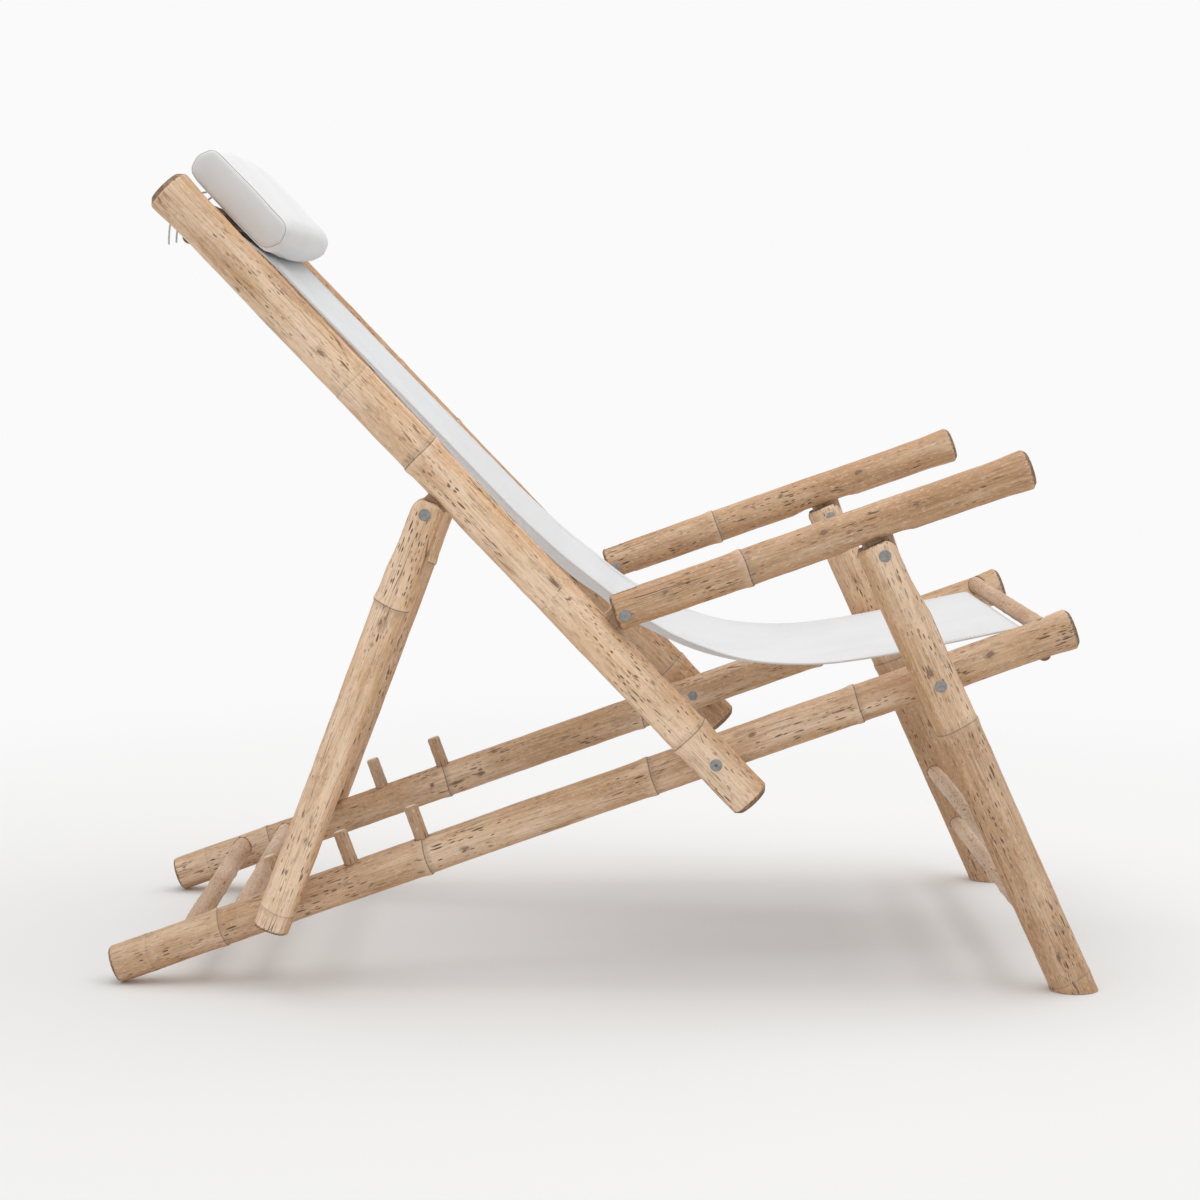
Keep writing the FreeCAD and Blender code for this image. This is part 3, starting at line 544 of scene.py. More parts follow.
def pole_skin(node, line, radius, y, bleach_and_shade, rings, flared, scars, paring, seed):
    """The CAD pole with a true round, rippled skin, and its cut faces kept where they are."""
    chance = np.random.default_rng(seed)
    strength = np.array([ring[1] for ring in rings])
    rings = np.array([ring[0] for ring in rings])
    source, mesh = evenly_meshed(node, pole_grain)
    origin, run, rise = (np.array(v) for v in line)
    across = np.array((0.0, 1.0, 0.0))
    origin = origin + across * y
    tree = surface_of(source)
    found = [tree.find_nearest(v.co) for v in mesh.vertices]
    snapped = np.array([hit[0] for hit in found])
    facing = np.array([hit[1] for hit in found])
    points = read_points(mesh)
    away = points - origin
    along = away @ run
    up = away @ rise
    out = away @ across
    distance = np.hypot(up, out)
    turn = np.arctan2(out, up)
    radial = (np.outer(up, rise) + np.outer(out, across)) / np.maximum(distance, 1e-6)[:, None]
    gaps = along[:, None] - rings
    swollen = (distance > radius + 0.0001) & (along < (flared or no_flare) - flare_run)
    on_side = ((facing * radial).sum(1) > 0.968) | (np.abs(gaps).min(1) < 0.004) | swollen
    skin = (distance > radius - 0.0009) & on_side
    from_bolt = np.hypot(*(points[:, None, [0, 2]] - bolt_places).transpose(2, 0, 1)).min(1)
    skin = skin | ((from_bolt < bolt_seat) & (np.abs(out) > radius - 0.0035))

    wobble = 0.0011 * np.sin(turn + chance.uniform(0, 6)) + 0.0005 * np.sin(3 * turn + chance.uniform(0, 6))
    gaps = gaps - wobble[:, None]
    swell = np.where(gaps < 0, np.exp(-(gaps / 0.0085) ** 2), 1 - smooth_step(gaps, 0.0, 0.0022))
    groove = np.exp(-(gaps / 0.0012) ** 2)
    girth = radius + ring_swell * (swell * strength).max(1) - ring_groove * (groove * strength).max(1)
    if flared:
        girth = girth + flare_swell * smooth_step(along, flared - flare_run, flared)
    girth = girth - 0.00025 + ripples(chance, along, turn, skin_ripple)
    spot = np.zeros_like(along)
    for scar_at, degrees, size in scars:
        round_to = np.angle(np.exp(1j * (turn - math.radians(degrees)))) * radius
        near = np.hypot((along - scar_at) / 1.6, round_to) / size
        girth = girth + scar_rise * np.exp(-near ** 2)
        spot = np.maximum(spot, np.exp(-(near / 0.95) ** 2))
    rounded = origin + np.outer(along, run) + radial * girth[:, None]
    points = np.where(skin[:, None], rounded, snapped)
    if paring:
        at, raised, side, way, flat, stretch = paring
        past = (along - at) * way
        stands = side * ((points - origin) @ rise - raised)
        most = flat + (radius + 0.003 + side * -raised - flat) * smooth_step(past, 0.03, 0.12)
        over = np.where(past > 0.03, np.maximum(stands - most, 0), 0)
        points = points - np.outer(side * over, rise)
        beyond = -past
        longest = np.where(stands > 0, np.sqrt(np.maximum(flat ** 2 - stands ** 2, 0)), 1.0)
        drawn = np.minimum(beyond + stretch * (beyond - 0.003), longest) - beyond
        points = points - np.outer(way * np.where(beyond > 0.003, np.maximum(drawn, 0), 0), run)
    move_points(mesh, points)

    tones = np.array(bleach_and_shade) + chance.uniform(-0.12, 0.12, len(rings) + 1)
    spread = np.where(strength > 0.3, 0.0008, 0.04)
    tone = tones[0] + (np.diff(tones) * smooth_step(gaps, -spread, spread)).sum(1)
    end_grain = 0.5 + 0.5 * smooth_step(np.abs(facing @ run), 0.4, 0.75)
    if paring:
        end_grain = np.where(beyond > 0.001, smooth_step(np.abs(facing @ run), 0.8, 0.97), end_grain)
    nearest = np.abs(gaps).argmin(1)
    note(mesh, "cane", np.stack([along + seed * 1.37, up + seed * 0.11, out], 1))
    note(mesh, "ring", gaps[np.arange(len(gaps)), nearest])
    note(mesh, "ringed", strength[nearest])
    # Painted shade: a share that lays warm brown on the underside of each pole, and more faintly along its top, as
    # if in shade
    facing_down = np.cos(turn) * np.sign(-rise[2]) * (-1 if "back" in node else 1)
    painted_top_band = 0.6 * smooth_step(-facing_down, 0.7, 1.0)
    note(mesh, "painted_shade", np.maximum(smooth_step(facing_down, 0.3, 1.0), painted_top_band))
    note(mesh, "cut", np.where(skin, 0.0, end_grain))
    note(mesh, "scar", spot)
    note(mesh, "tone", tone)
    note(mesh, "wear", edge_wear(mesh, points))
    smooth_faces(mesh)
    bpy.data.meshes.remove(source)
    return mesh


weathering = weathering_group()
pole_bamboo = cane("pole_bamboo", (0.85, 0.63, 0.44, 1), (0.59, 0.365, 0.205, 1), (0.12, 0.06, 0.03, 1),
                   (0.20, 0.118, 0.065, 1), 1.0)
# Painted shade: the far back rail's joints get a much lower tone, so it renders browner and darker as if it lay in
# shade
far_rail_painted_shade = 1.5
for count, (kind, (line, radius, across, bleach_and_shade, rings, flared, scars)) in enumerate(stems.items()):
    for seed, (side_name, side) in enumerate((("right", -1), ("left", 1)), 11 + 2 * count):
        node = f"{kind}_{side_name}"
        if node == "back_rail_left":
            bleach_and_shade = [tone - far_rail_painted_shade for tone in bleach_and_shade]
        mesh = pole_skin(node, line, radius, side * across, bleach_and_shade, rings, flared,
                         scars if side < 0 else scars[1:], pared.get(kind), seed)
        pole = new_piece(node + "_pole", mesh, pole_bamboo)
        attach(pole, bodies[kind].format(side_name))
        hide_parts(node)

# Tongues. Flat hardwood boards glued into mortises in the rails and arms: the slotted pole ends
# straddle them and turn on their bolts. Their grain runs out from the pole that carries them.
tongue_homes = {"arm_tongue": (back, "back_frame"), "prop_tongue": (back, "back_frame"),
                "leg_tongue": (arm, "armrest_{}")}
tongue_grain = 0.0012
tongue_wood = cane("tongue_wood", (0.66, 0.46, 0.30, 1), (0.50, 0.32, 0.19, 1), (0.17, 0.095, 0.05, 1),
                   (0.36, 0.225, 0.13, 1), 0.6)
for count, (kind, (line, body)) in enumerate(tongue_homes.items()):
    for side_name, side in (("right", -1), ("left", 1)):
        node = f"{kind}_{side_name}"
        source, mesh = evenly_meshed(node, tongue_grain)
        tree = surface_of(source)
        points = np.array([tree.find_nearest(v.co)[0] for v in mesh.vertices])
        move_points(mesh, points)
        origin, run, rise = (np.array(v) for v in line)
        away = points - origin
        note(mesh, "cane", np.stack([away @ rise + 3 + count, away @ run, away[:, 1]], 1))
        note(mesh, "wear", edge_wear(mesh, points))
        note(mesh, "ring", np.full(len(points), 0.1))
        smooth_faces(mesh)
        tongue = new_piece(node + "_board", mesh, tongue_wood)
        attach(tongue, body.format(side_name))
        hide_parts(node)

# Cross bars and hem rods. Thin round branches let into the poles on both sides, peeled but not
# straightened, so they keep low knots and a bumpy skin; the two hem rods show their sawn ends.
branch_wood = cane("branch_wood", (0.74, 0.54, 0.38, 1), (0.56, 0.37, 0.235, 1), (0.18, 0.10, 0.055, 1),
                   (0.24, 0.145, 0.085, 1), 0.8)
branch_row = 0.0026
# Radius, body, how bumpy it is, and how much fuller it is than its ends
branches = {"rear_stretcher_lower": (0.0125, "base", 1.0, 0.0007),
            "rear_stretcher_upper": (0.0125, "base", 1.0, 0.0007),
            "leg_stretcher_upper": (0.009, "front_legs", 0.8, 0.0016),
            "leg_stretcher_lower": (0.009, "front_legs", 0.8, 0.0016),
            "front_bar": (0.011, "base", 0.6, 0.0), "top_bar": (0.011, "back_frame", 0.6, 0.0),
            "prop_bar": (0.011, "prop_frame", 0.8, 0.0), "front_hem_rod": (0.009, "base", 0.2, 0.0),
            "top_hem_rod": (0.009, "back_frame", 0.2, 0.0)}


def branch_mesh(low, high, radius, bumpy, fitted, plump, seed):
    """A closed round bar along Y with low knots, a seeded uneven skin, and softened sawn ends."""
    chance = np.random.default_rng(seed)
    around = 36
    rows = int((high.y - low.y) / branch_row)
    places = np.linspace(low.y, high.y, rows)
    along = np.repeat(places, around)
    turn = np.tile(np.arange(around) * 2 * math.pi / around, rows)
    knots = low.y + (high.y - low.y) * (np.arange(5) + chance.uniform(0.2, 0.8, 5)) / 5
    gaps = along[:, None] - knots + 0.002 * np.sin(turn + chance.uniform(0, 6))[:, None]
    girth = radius - 0.0009 + 0.0007 * bumpy * np.exp(-(gaps / 0.006) ** 2).max(1)
    girth = girth + ripples(chance, along, turn, skin_ripple * bumpy)
    spot = np.zeros_like(along)
    for _ in range(7):
        at = chance.uniform(low.y, high.y)
        lean = chance.uniform(0, 2 * math.pi)
        round_to = np.angle(np.exp(1j * (turn - lean))) * radius
        near = np.hypot(along - at, round_to) / 0.0045
        girth = girth + 0.001 * bumpy * np.exp(-near ** 2)
        spot = np.maximum(spot, 0.8 * np.exp(-(near / 0.5) ** 2))
    from_end = np.minimum(along - low.y, high.y - along)
    let_in = 1 - smooth_step(from_end, 0.012, 0.03) if fitted else 0
    girth = (np.minimum(girth, radius) + plump) * (1 - let_in) + radius * let_in
    girth = girth - 0.0012 * np.clip(1 - from_end / 0.0025, 0, 1)
    middle = (low + high) / 2
    across = girth * np.cos(turn)
    rise = girth * np.sin(turn)
    points = np.stack([middle.x + across, along, middle.z + rise], 1)
    faces = []
    for row in range(rows - 1):
        for k in range(around):
            here = row * around + k
            beside = row * around + (k + 1) % around
            faces.append((here, here + around, beside + around, beside))
    faces.append(tuple(range(around)))
    faces.append(tuple(range(rows * around - 1, (rows - 1) * around - 1, -1)))
    mesh = bpy.data.meshes.new("branch")
    mesh.from_pydata(points.tolist(), [], faces)
    note(mesh, "cane", np.stack([along + seed * 0.77, across, rise], 1))
    note(mesh, "ring", gaps[np.arange(len(gaps)), np.abs(gaps).argmin(1)])
    note(mesh, "ringed", np.full(len(along), 0.15 * bumpy))
    note(mesh, "cut", (from_end < 0.0001).astype(float))
    note(mesh, "scar", spot)
    note(mesh, "tone", np.full(len(along), 0.2 if plump > 0.001 else chance.uniform(-1.0, -0.5)))
    note(mesh, "wear", np.zeros(len(along)))
    mesh.polygons.foreach_set("use_smooth", [len(face) == 4 for face in faces])
    return mesh


for seed, (node, (radius, body, bumpy, plump)) in enumerate(branches.items(), 51):
    low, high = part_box(node)
    mesh = branch_mesh(low, high, radius, bumpy, "hem" not in node, plump, seed)
    rod = new_piece(node + "_branch", mesh, branch_wood)
    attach(rod, body)
    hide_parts(node)

# Reclining pegs. Six short upright dowels glued in the tops of the base rails, three on a side:
# the prop's bar rests behind one pair. Each is whittled from a branch, with a pale sawn top.
peg_up = base[2]
peg_nodes = [f"recline_peg_{side_name}_{number}" for side_name in ("left", "right") for number in (1, 2, 3)]


def modelling_tree(name, sizes):
    """An empty Geometry Nodes tree that takes a mesh and named sizes, and what it is given."""
    mesh = {"Geometry": "Geometry"}
    return named_group(name, "GeometryNodeTree", {**mesh, **sizes}, mesh)


def shaped(tree, kind, inputs=()):
    """The first result of a geometry node."""
    return add_node(tree, "GeometryNode" + kind, inputs).outputs[0]


def finish_tree(tree, geometry, finish):
    """Ends a tree: instances made real, smooth, and in one material."""
    real = shaped(tree, "RealizeInstances", {0: geometry})
    smooth = shaped(tree, "SetShadeSmooth", {0: real})
    coated = shaped(tree, "SetMaterial", {"Geometry": smooth, "Material": finish})
    add_node(tree, "NodeGroupOutput", {0: coated})


def grown(mesh, tree, sizes):
    """The plain mesh that a tree makes of a mesh."""
    start = in_scene("start", mesh)
    step = start.modifiers.new("build", "NODES")
    step.node_group = tree
    for item in tree.interface.items_tree:
        if item.in_out == "INPUT" and item.name in sizes:
            step[item.identifier] = sizes[item.name]
    made = settled(start)
    bpy.data.objects.remove(start)
    return made


def turned(name, outline, steps):
    """A closed turned shape about Z through (radius, height) points, from its foot up."""
    shape = bmesh.new()
    rings = []
    for radius, height in outline:
        count = steps if radius else 1
        angles = [2 * math.pi * k / steps for k in range(count)]
        rings.append([shape.verts.new((radius * math.cos(a), radius * math.sin(a), height)) for a in angles])
    for lower, upper in zip(rings, rings[1:]):
        for k in range(steps):
            near = k % len(lower), (k + 1) % len(lower)
            over = (k + 1) % len(upper), k % len(upper)
            corners = [lower[near[0]], lower[near[1]], upper[over[0]], upper[over[1]]]
            shape.faces.new(list(dict.fromkeys(corners)))
    mesh = bpy.data.meshes.new(name)
    shape.to_mesh(mesh)
    shape.free()
    return bpy.data.objects.new(name, mesh)


def set_out(places, outward, reach):
    """Loose points that carry the way each repeated part faces, and how long it is."""
    mesh = bpy.data.meshes.new("places")
    mesh.from_pydata([tuple(place) for place in places], [], [])
    note(mesh, "outward", np.array([tuple(way) for way in outward]))
    note(mesh, "reach", np.array(reach, float))
    return mesh


def named(tree, layer, kind="FLOAT_VECTOR"):
    """What each point says in a layer of its own."""
    read = add_node(tree, "GeometryNodeInputNamedAttribute", {"Name": layer}, data_type=kind)
    return read.outputs["Attribute"]


def turned_outward(tree):
    """The turn that stands a repeated part on its end, the way its point faces."""
    way = named(tree, "outward")
    return add_node(tree, "FunctionNodeAlignRotationToVector", {"Vector": way}, axis="Z").outputs[0]


peg_tree, given = modelling_tree("peg_row", {"Peg": "Object", "Turn Seed": "Int", "Finish": "Material"})
spin = add_node(peg_tree, "FunctionNodeRandomValue", {"Seed": given["Turn Seed"]}, data_type="FLOAT")
spin.inputs["Max"].default_value = 2 * math.pi
own_turn = add_node(peg_tree, "FunctionNodeAxisAngleToRotation",
                    {"Axis": (0, 0, 1), "Angle": spin.outputs[1]}).outputs[0]
facing_way = add_node(peg_tree, "FunctionNodeRotateRotation", {0: turned_outward(peg_tree), 1: own_turn},
                      rotation_space="LOCAL").outputs[0]
shape = add_node(peg_tree, "GeometryNodeObjectInfo", {"Object": given["Peg"]}).outputs["Geometry"]
row = shaped(peg_tree, "InstanceOnPoints",
             {"Points": given["Geometry"], "Instance": shape, "Rotation": facing_way})
finish_tree(peg_tree, row, given["Finish"])

peg_radius = 0.009
peg_length = 0.053
peg_outline = [(0, 0), (peg_radius - 0.001, 0)]
peg_outline += [(peg_radius - 0.0003 - 0.0002 * math.sin(9 * step / 15) ** 2, peg_length * step / 16)
                for step in range(1, 16)]
peg_outline += [(peg_radius - 0.0008, peg_length - 0.0014), (peg_radius - 0.0019, peg_length - 0.0002),
                (peg_radius - 0.0028, peg_length), (0, peg_length)]
peg_shape = turned("peg_shape", peg_outline, 28)
points = read_points(peg_shape.data)
turn = np.arctan2(points[:, 1], points[:, 0])
points[:, :2] *= 1 + 0.012 * (np.sin(2 * turn + 1) * np.sin(points[:, 2] * 110))[:, None] - 0.012
move_points(peg_shape.data, points)
note(peg_shape.data, "cane", np.stack([points[:, 2] + 9.3, points[:, 0], points[:, 1]], 1))
note(peg_shape.data, "ring", np.full(len(points), 0.1))
note(peg_shape.data, "cut", (points[:, 2] > peg_length - 0.0001).astype(float))
note(peg_shape.data, "tone", np.full(len(points), -0.6))
peg_wood = cane("peg_wood", (0.74, 0.55, 0.39, 1), (0.54, 0.36, 0.23, 1), (0.17, 0.095, 0.05, 1),
                (0.78, 0.67, 0.53, 1), 0.8)
peg_places = []
for node in peg_nodes:
    low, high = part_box(node)
    peg_places.append((low + high) / 2 - peg_up * (peg_length / 2))
pegs = grown(set_out(peg_places, [peg_up] * len(peg_places), [1] * len(peg_places)), peg_tree,
             {"Peg": peg_shape, "Turn Seed": 5, "Finish": peg_wood})
row = new_piece("recline_pegs", pegs, peg_wood)
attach(row, "base")
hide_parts(*peg_nodes)

# Bolts and nuts. Dull zinc-plated steel: a low round head with a rolled edge sits in a flat seat,
# its shank goes through slot, tongue and poles, and a domed six-sided nut closes it inside.
zinc = bpy.data.materials.new("zinc_plate")
tree = empty_tree(zinc)
place = add_node(tree, "ShaderNodeTexCoord").outputs["Object"]
patches = noise_over(tree, place, 300.0, 3.0)
brushed = add_node(tree, "ShaderNodeMapping", {"Vector": place, "Scale": (600.0, 300.0, 5200.0)})
scratches = noise_over(tree, brushed.outputs[0])
colour = blended(tree, soft_step(tree, patches, 0.4, 0.65), (0.34, 0.335, 0.325, 1), (0.27, 0.265, 0.26, 1))
rough = sum_of(tree, "ADD", sum_of(tree, "MULTIPLY", scratches, 0.2), 0.5)
dressed(tree, (colour, rough, sum_of(tree, "ADD", patches, scratches)), 0.5, 0.0001, {"Metallic": 0.35})

bolt_tree, given = modelling_tree("bolt_row", {"Head": "Object", "Shank": "Object", "Finish": "Material"})
facing_way = turned_outward(bolt_tree)
reach = named(bolt_tree, "reach", "FLOAT")
stretch = add_node(bolt_tree, "ShaderNodeCombineXYZ", {0: 1.0, 1: 1.0, 2: reach})
both_parts = []
for part, scale in (("Head", None), ("Shank", stretch.outputs[0])):
    shape = add_node(bolt_tree, "GeometryNodeObjectInfo", {"Object": given[part]}).outputs["Geometry"]
    sockets = {"Points": given["Geometry"], "Instance": shape, "Rotation": facing_way}
    if scale:
        sockets["Scale"] = scale
    both_parts.append(shaped(bolt_tree, "InstanceOnPoints", sockets))
joined = bolt_tree.nodes.new("GeometryNodeJoinGeometry")
for part in both_parts:
    bolt_tree.links.new(part, joined.inputs[0])
finish_tree(bolt_tree, joined.outputs[0], given["Finish"])

head_height = 0.0026
rolled = [(0, 0), (0.0068, 0), (0.007, 0.0004), (0.007, 0.0017), (0.0066, 0.0023), (0.0058, 0.0026)]
hollow = [(0.0042, 0.0024), (0.0022, 0.00235), (0, 0.00235)]
drilled = [(0.0022, 0.0026), (0.0018, 0.0023), (0.0016, 0.0008), (0, 0.0006)]
plain_head = turned("plain_head", rolled + hollow, 40)
drilled_head = turned("drilled_head", rolled + drilled, 40)
shank_shape = turned("shank_shape", [(0, -1), (0.0036, -1), (0.004, -0.97), (0.004, 0), (0, 0)], 24)
dome = turned("dome", [(0, 0), (0.0058, 0), (0.0058, 0.0012), (0.0052, 0.0018), (0.0038, 0.0023),
                       (0.002, 0.00255), (0, 0.0026)], 24)
flats = turned("flats", [(0, 0), (0.0066, 0), (0.007, 0.0003), (0.007, 0.0014), (0.0064, 0.0017),
                         (0, 0.0017)], 6)
for body, members in frame["record"]["behaviour"]["bodies"].items():
    for kind, shapes in (("bolt", (plain_head, shank_shape)), ("drilled", (drilled_head, shank_shape)),
                         ("nut", (flats, dome))):
        nodes = [n for n in members if ("_nut_" in n if kind == "nut" else "_bolt_" in n)]
        if kind != "nut":
            nodes = [n for n in nodes if n.startswith("back_pivot") == (kind == "drilled")]
        if not nodes:
            continue
        places, outward, reach = [], [], []
        for node in nodes:
            low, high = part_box(node)
            side = 1 if low.y > 0 else -1
            way = -side if kind == "nut" else side
            face = (high.y if way > 0 else low.y) - way * head_height
            places.append(((low.x + high.x) / 2, face, (low.z + high.z) / 2))
            outward.append((0, way, 0))
            reach.append(1 if kind == "nut" else high.y - low.y - head_height)
        mesh = grown(set_out(places, outward, reach), bolt_tree,
                     {"Head": shapes[0], "Shank": shapes[1], "Finish": zinc})
        mesh.polygons.foreach_set("use_smooth", np.full(len(mesh.polygons), kind != "nut"))
        fasteners = new_piece(f"{kind}s_{body}", mesh, zinc)
        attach(fasteners, body)
        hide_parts(*nodes)

# Sling. One strip of heavy white canvas, hemmed along both sides. A loose rod in a sewn loop at
# each end catches behind its fixed bar, and the strip hangs slack between them as back and seat.
sling_half = 0.205
canvas_thickness = 0.0022
single_layer = 0.62
hem_width = 0.012
rod_ring = 0.0105
sling_route = (on(back, 0.8415, -0.012), on(back, 0.785, -0.022), on(back, 0.311, -0.027),
               on(base, 0.738, 0.1545), on(base, 0.815, 0.088), on(base, 0.898, 0.052),
               on(base, 0.987, 0.034), on(base, 1.1505, 0.012))
sling_sags = np.array((0, 0.002, 0.024, 0.023, 0.019, 0.011, 0.005, 0))
loops = []
for line, along, up, first, last in ((back, 0.847, 0.020, -130, 188), (base, 1.156, -0.020, 172, 490)):
    angles = np.radians(np.linspace(first, last, 28))
    loops.append([on(line, along + rod_ring * math.cos(a), up + rod_ring * math.sin(a)) for a in angles])


def side_view(points):
    """The places as they are seen from the side, as x and z."""
    return np.array([(point.x, point.z) for point in points])


def eased_bend(before, corner, after):
    """A smooth bend at one corner of the route, from part of the way along the run on each side."""
    into = before - corner
    out = after - corner
    cut = 0.45 * min(np.linalg.norm(into), np.linalg.norm(out))
    start = corner + into / np.linalg.norm(into) * cut
    end = corner + out / np.linalg.norm(out) * cut
    share = np.linspace(0, 1, 9)[:, None]
    return (1 - share) ** 2 * start + 2 * share * (1 - share) * corner + share ** 2 * end


def sling_line(share):
    """The strip's line in the side view at a share (-1 to 1) of its half width. It sags between."""
    route = side_view(sling_route)
    runs = np.diff(route, axis=0)
    runs = runs / np.linalg.norm(runs, axis=1)[:, None]
    square = np.stack([-runs[:, 1], runs[:, 0]], 1)
    before = np.vstack([square[:1], square])
    after = np.vstack([square, square[-1:]])
    middle = before + after
    middle = middle / np.linalg.norm(middle, axis=1)[:, None]
    drop = sling_sags * (1 - share * share) / (middle * before).sum(1)
    route = route - middle * drop[:, None]
    top, front = side_view(loops[0]), side_view(loops[1])
    whole = np.vstack([top[-1:], route, front[:1]])
    bends = [eased_bend(*whole[k - 1:k + 2]) for k in range(1, len(whole) - 1)]
    line = [top]
    for part, count in zip([*bends, front], sling_runs):
        line.append(line[-1][-1] + (part[0] - line[-1][-1]) * np.linspace(0, 1, count + 1)[1:-1, None])
        line.append(part)
    return np.vstack(line)


sling_runs = [4, 6, 60, 20, 5, 5, 5, 14, 4]
inner_edge = 1 - hem_width / sling_half
shares = np.concatenate([[1, 0.992, 0.975, inner_edge + 0.002, inner_edge - 0.006, 0.92],
                         np.linspace(0.88, -0.88, 37),
                         [-0.92, 0.006 - inner_edge, -0.002 - inner_edge, -0.975, -0.992, -1]])
columns = [sling_line(share) for share in shares]
rows = len(columns[0])
edge_steps = np.linalg.norm(np.diff(columns[0], axis=0), axis=1)
edge_lengths = np.concatenate([[0], np.cumsum(edge_steps)])
progress = edge_lengths / edge_lengths[-1]
waist = 1 - 0.008 * np.sin(math.pi * progress)
points = np.zeros((len(shares), rows, 3))
for column, (share, line) in enumerate(zip(shares, columns)):
    points[column, :, 0] = line[:, 0]
    points[column, :, 1] = share * sling_half * waist
    points[column, :, 2] = line[:, 1]
slopes = np.gradient(points[:, :, [0, 2]], axis=1)
slopes = slopes / np.linalg.norm(slopes, axis=2, keepdims=True)
free = smooth_step(progress, 0.06, 0.14) * (1 - smooth_step(progress, 0.86, 0.93))
wide = shares[:, None]
puckers = 0.0009 * np.sin(wide * 9 + 4 * progress) * np.sin(progress * 21 + wide * 2)
puckers = puckers + 0.0006 * np.sin(wide * 23 + 1) * np.sin(progress * 9) ** 2
at_bend = np.exp(-((progress - 0.55) / 0.09) ** 2)
puckers = puckers + 0.0011 * at_bend * np.sin(progress * 95 + 2.5 * wide ** 2)
lift = puckers * free * (1 - 0.7 * wide ** 8)
points[:, :, 0] += -slopes[:, :, 1] * lift
points[:, :, 2] += slopes[:, :, 0] * lift
strip = bpy.data.meshes.new("strip")
faces = []
for column in range(len(shares) - 1):
    for row in range(rows - 1):
        here = column * rows + row
        faces.append((here, here + rows, here + rows + 1, here + 1))
strip.from_pydata(points.reshape(-1, 3).tolist(), [], faces)
places = np.stack(np.broadcast_arrays(wide * sling_half, edge_lengths[None, :]), 2).reshape(-1, 2)
corners = np.empty(len(strip.loops), int)
strip.loops.foreach_get("vertex_index", corners)
strip.uv_layers.new(name="cloth").data.foreach_set("uv", places[corners].astype(np.float32).ravel())
blank = in_scene("strip", strip)
hem = blank.vertex_groups.new(name="hem")
in_hem = np.nonzero(np.repeat(np.abs(shares) > inner_edge, rows))[0]
hem.add(in_hem.tolist(), 1.0, "REPLACE")
thicken = blank.modifiers.new("thicken", "SOLIDIFY")
thicken.thickness = canvas_thickness
thicken.offset = 0
thicken.vertex_group = "hem"
thicken.thickness_vertex_group = single_layer
strip = settled(blank)
bpy.data.objects.remove(blank)
smooth_faces(strip)
canvas_white = woven("canvas_white", "cloth", 0.0014, (0.775, 0.78, 0.79, 1), (0.71, 0.715, 0.73, 1),
                     0.0003, 0.05)
sling = new_piece("sling_strip", strip, canvas_white)
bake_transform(sling)
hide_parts("sling_back_span", "sling_seat_span")

# Hem stitches. Two rows of lockstitch in grey-white thread hold the folded side hems, and show on
# both faces of the canvas.
stitch_sizes = {"Pitch": 0.0048, "Length": 0.0036, "Rise": 0.0006, "Thread Radius": 0.00035}
stitch_tree, given = modelling_tree("stitch_row", {**dict.fromkeys(stitch_sizes, "Float"),
                                                   "Finish": "Material"})
path = shaped(stitch_tree, "MeshToCurve", {0: given["Geometry"]})
path = add_node(stitch_tree, "GeometryNodeResampleCurve", {"Curve": path, "Length": given["Pitch"]},
                mode="LENGTH")
half = sum_of(stitch_tree, "MULTIPLY", given["Length"], 0.5)
back_half = sum_of(stitch_tree, "MULTIPLY", half, -1.0)
start = add_node(stitch_tree, "ShaderNodeCombineXYZ", {0: back_half, 2: -0.0003}).outputs[0]
crest = add_node(stitch_tree, "ShaderNodeCombineXYZ", {2: given["Rise"]}).outputs[0]
end = add_node(stitch_tree, "ShaderNodeCombineXYZ", {0: half, 2: -0.0003}).outputs[0]
arc = shaped(stitch_tree, "CurveQuadraticBezier",
             {"Resolution": 4, "Start": start, "Middle": crest, "End": end})
ring = shaped(stitch_tree, "CurvePrimitiveCircle", {"Resolution": 5, "Radius": given["Thread Radius"]})
thread = shaped(stitch_tree, "CurveToMesh", {"Curve": arc, "Profile Curve": ring, "Fill Caps": True})
axes = {"Primary Axis": named(stitch_tree, "outward"), "Secondary Axis": shaped(stitch_tree, "InputTangent")}
way = add_node(stitch_tree, "FunctionNodeAxesToRotation", axes, primary_axis="Z", secondary_axis="X")
row = shaped(stitch_tree, "InstanceOnPoints",
             {"Points": path.outputs[0], "Instance": thread, "Rotation": way.outputs[0]})
finish_tree(stitch_tree, row, given["Finish"])

# The rows run on the hems, a little out from their inner edges, and stop short of the rod loops
stitch_row_at = 0.949
stitch_lift = 0.00085
first_row = 34
last_row = rows - 33
stitch_points, stitch_ways, stitch_edges = [], [], []
for share in (stitch_row_at, -stitch_row_at):
    line = sling_line(share)
    rise = np.stack([-np.gradient(line[:, 1]), np.gradient(line[:, 0])], 1)
    rise = rise / np.linalg.norm(rise, axis=1)[:, None]
    for face in (1, -1):
        for k in range(first_row, last_row + 1):
            spot = line[k] + rise[k] * face * stitch_lift
            stitch_points.append((spot[0], share * sling_half * waist[k], spot[1]))
            stitch_ways.append((rise[k][0] * face, 0, rise[k][1] * face))
            if k > first_row:
                stitch_edges.append((len(stitch_points) - 2, len(stitch_points) - 1))
route = bpy.data.meshes.new("stitch_route")
route.from_pydata(stitch_points, stitch_edges, [])
note(route, "outward", np.array(stitch_ways))
hem_thread = woven("hem_thread", None, 0.0008, (0.72, 0.72, 0.72, 1), (0.62, 0.62, 0.62, 1), 0.0001, 0.1)
stitching = grown(route, stitch_tree, {**stitch_sizes, "Finish": hem_thread})
stitches = new_piece("hem_stitches", stitching, hem_thread)
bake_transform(stitches)

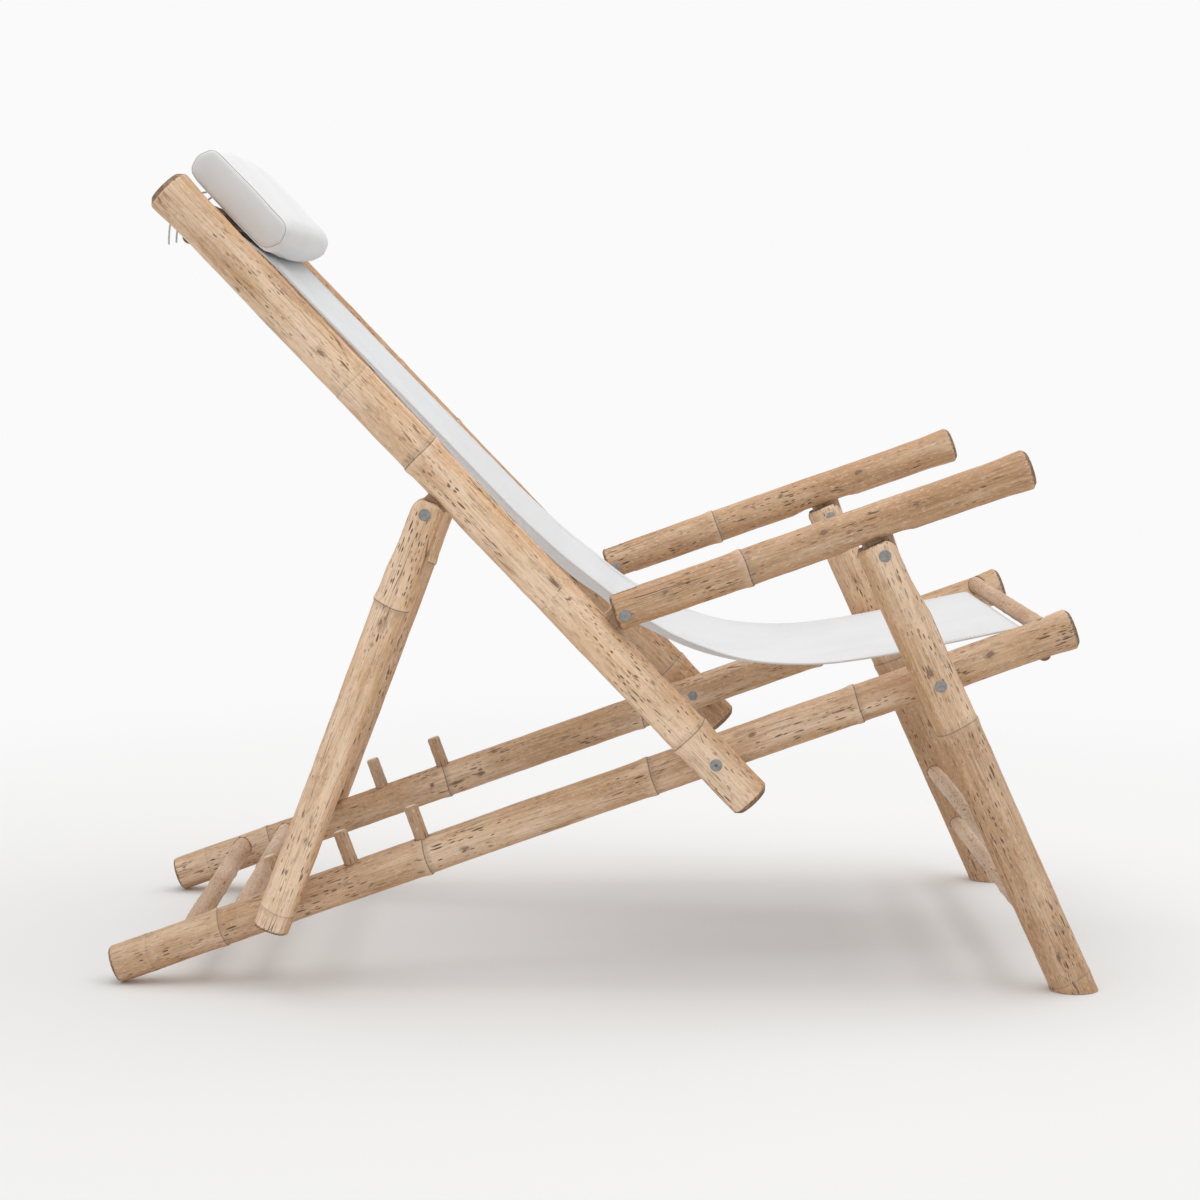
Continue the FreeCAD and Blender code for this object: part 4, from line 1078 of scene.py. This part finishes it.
# Head cushion. A box-edged white cotton pad filled with fibre, tied across the top of the back: it
# lies flat on the sling and bar, swells between its seams, and has a thin piped seam at each end.
pad_middle = 0.845
pad_rest = 0.0243
pad_half_thick = 0.0225
pad_half = 0.25
pad_grain = 0.0042
sim_steps = 20
origin, run, rise = (np.array(v) for v in back)


def on_back(along, up, out):
    """Places on the back from how far along, in front of and across it they are."""
    rest = origin + np.outer(along + pad_middle, run) - np.outer(up, rise)
    rest[:, 1] = out
    return rest


def off_back(points):
    """How far along the back, in front of it and across it each place is, from the pad's middle."""
    away = points - origin
    return away @ run - pad_middle, -(away @ rise), away[:, 1]


source, mesh = evenly_meshed("head_cushion", pad_grain)
along, up, out = off_back(read_points(mesh))
inward = 1 - smooth_step(np.abs(out), 0.19, pad_half)
belly = np.clip(1 - (out / pad_half) ** 2, 0, 1)
along = along * (1 + 0.07 * belly + 0.06 * (along < 0))
up = pad_rest + pad_half_thick + (up - pad_rest - pad_half_thick) * (1 + 0.06 * belly)
smaller = on_back(along, up, out)
move_points(mesh, smaller)
pad = in_scene("pad", mesh)
filling = pad.modifiers.new("filling", "CLOTH")
filling.settings.quality = 6
filling.settings.use_pressure = True
filling.settings.uniform_pressure_force = 4.0
filling.settings.effector_weights.gravity = 0.0
for step in range(1, sim_steps + 1):
    bpy.context.scene.frame_set(step)
swollen = settled(pad)
bpy.data.objects.remove(pad)
bpy.context.scene.frame_set(1)
moved = read_points(swollen) - smaller
size = np.linalg.norm(moved, axis=1)
most = 0.0005 + 0.0020 * inward
smaller = smaller + moved * np.minimum(1, most / np.maximum(size, 1e-9))[:, None]
mesh = swollen
along, up, out = off_back(smaller)
up = np.maximum(up, pad_rest + 0.0004)
move_points(mesh, on_back(along, up, out))
blank = in_scene("pad", mesh)
relax = blank.modifiers.new("relax", "SMOOTH")
relax.factor = 0.5
relax.iterations = 3
finer = blank.modifiers.new("finer", "SUBSURF")
finer.levels = 1
finer.render_levels = 1
mesh = settled(blank)
bpy.data.objects.remove(blank)
points = read_points(mesh)
normals = np.array([polygon.normal for polygon in mesh.polygons])
flat_along, flat_up, flat_out = (points - origin) @ run, -((points - origin) @ rise), points[:, 1]
facing = np.abs(np.stack([normals @ run, normals @ rise, normals[:, 1]], 1)).argmax(1)
loop_points = np.empty(len(mesh.loops), int)
mesh.loops.foreach_get("vertex_index", loop_points)
loop_facing = np.repeat(facing, [polygon.loop_total for polygon in mesh.polygons])
pairs = np.stack([np.stack([flat_out, flat_up], 1), np.stack([flat_out, flat_along], 1),
                  np.stack([flat_along, flat_up], 1)])
flat_places = pairs[loop_facing, loop_points].astype(np.float32)
mesh.uv_layers.new(name="cloth").data.foreach_set("uv", flat_places.ravel())
smooth_faces(mesh)
cushion_white = woven("cushion_white", "cloth", 0.0011, (0.82, 0.82, 0.825, 1), (0.74, 0.74, 0.745, 1),
                      0.0002, 0.1)
cushion = new_piece("head_cushion_pad", mesh, cushion_white)
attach(cushion, "back_frame")
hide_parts("head_cushion")

# Cushion piping. A thin corded seam, a little greyer than the cloth, runs round each end panel.
pipe_tree, given = modelling_tree("piping", {"Cord Radius": "Float", "Finish": "Material"})
path = shaped(pipe_tree, "MeshToCurve", {0: given["Geometry"]})
ring = shaped(pipe_tree, "CurvePrimitiveCircle", {"Resolution": 8, "Radius": given["Cord Radius"]})
pipe = shaped(pipe_tree, "CurveToMesh", {"Curve": path, "Profile Curve": ring})
finish_tree(pipe_tree, pipe, given["Finish"])
surface = surface_of(mesh)
seam_points, seam_edges = [], []
seam_out = 0.2535
count = 96
for side in (1, -1):
    first = len(seam_points)
    for k in range(count):
        a = 2 * math.pi * k / count
        ray = np.array([[0.1 * math.cos(a)], [pad_rest + pad_half_thick + 0.06 * math.sin(a)]])
        centre = on_back(np.zeros(1), np.array([pad_rest + pad_half_thick]), np.array([side * seam_out]))[0]
        far_out = on_back(ray[0], ray[1], np.array([side * seam_out]))[0]
        hit = surface.ray_cast(Vector(far_out), Vector(centre - far_out).normalized())[0]
        seam_points.append(tuple(hit))
        seam_edges.append((first + k, first + (k + 1) % count))
seam = bpy.data.meshes.new("seam")
seam.from_pydata(seam_points, seam_edges, [])
piping_cloth = woven("piping_cloth", None, 0.0010, (0.56, 0.56, 0.565, 1), (0.45, 0.45, 0.455, 1),
                     0.0001, 0.1)
cords = grown(seam, pipe_tree, {"Cord Radius": 0.0008, "Finish": piping_cloth})
piping = new_piece("cushion_piping", cords, piping_cloth)
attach(piping, "back_frame")
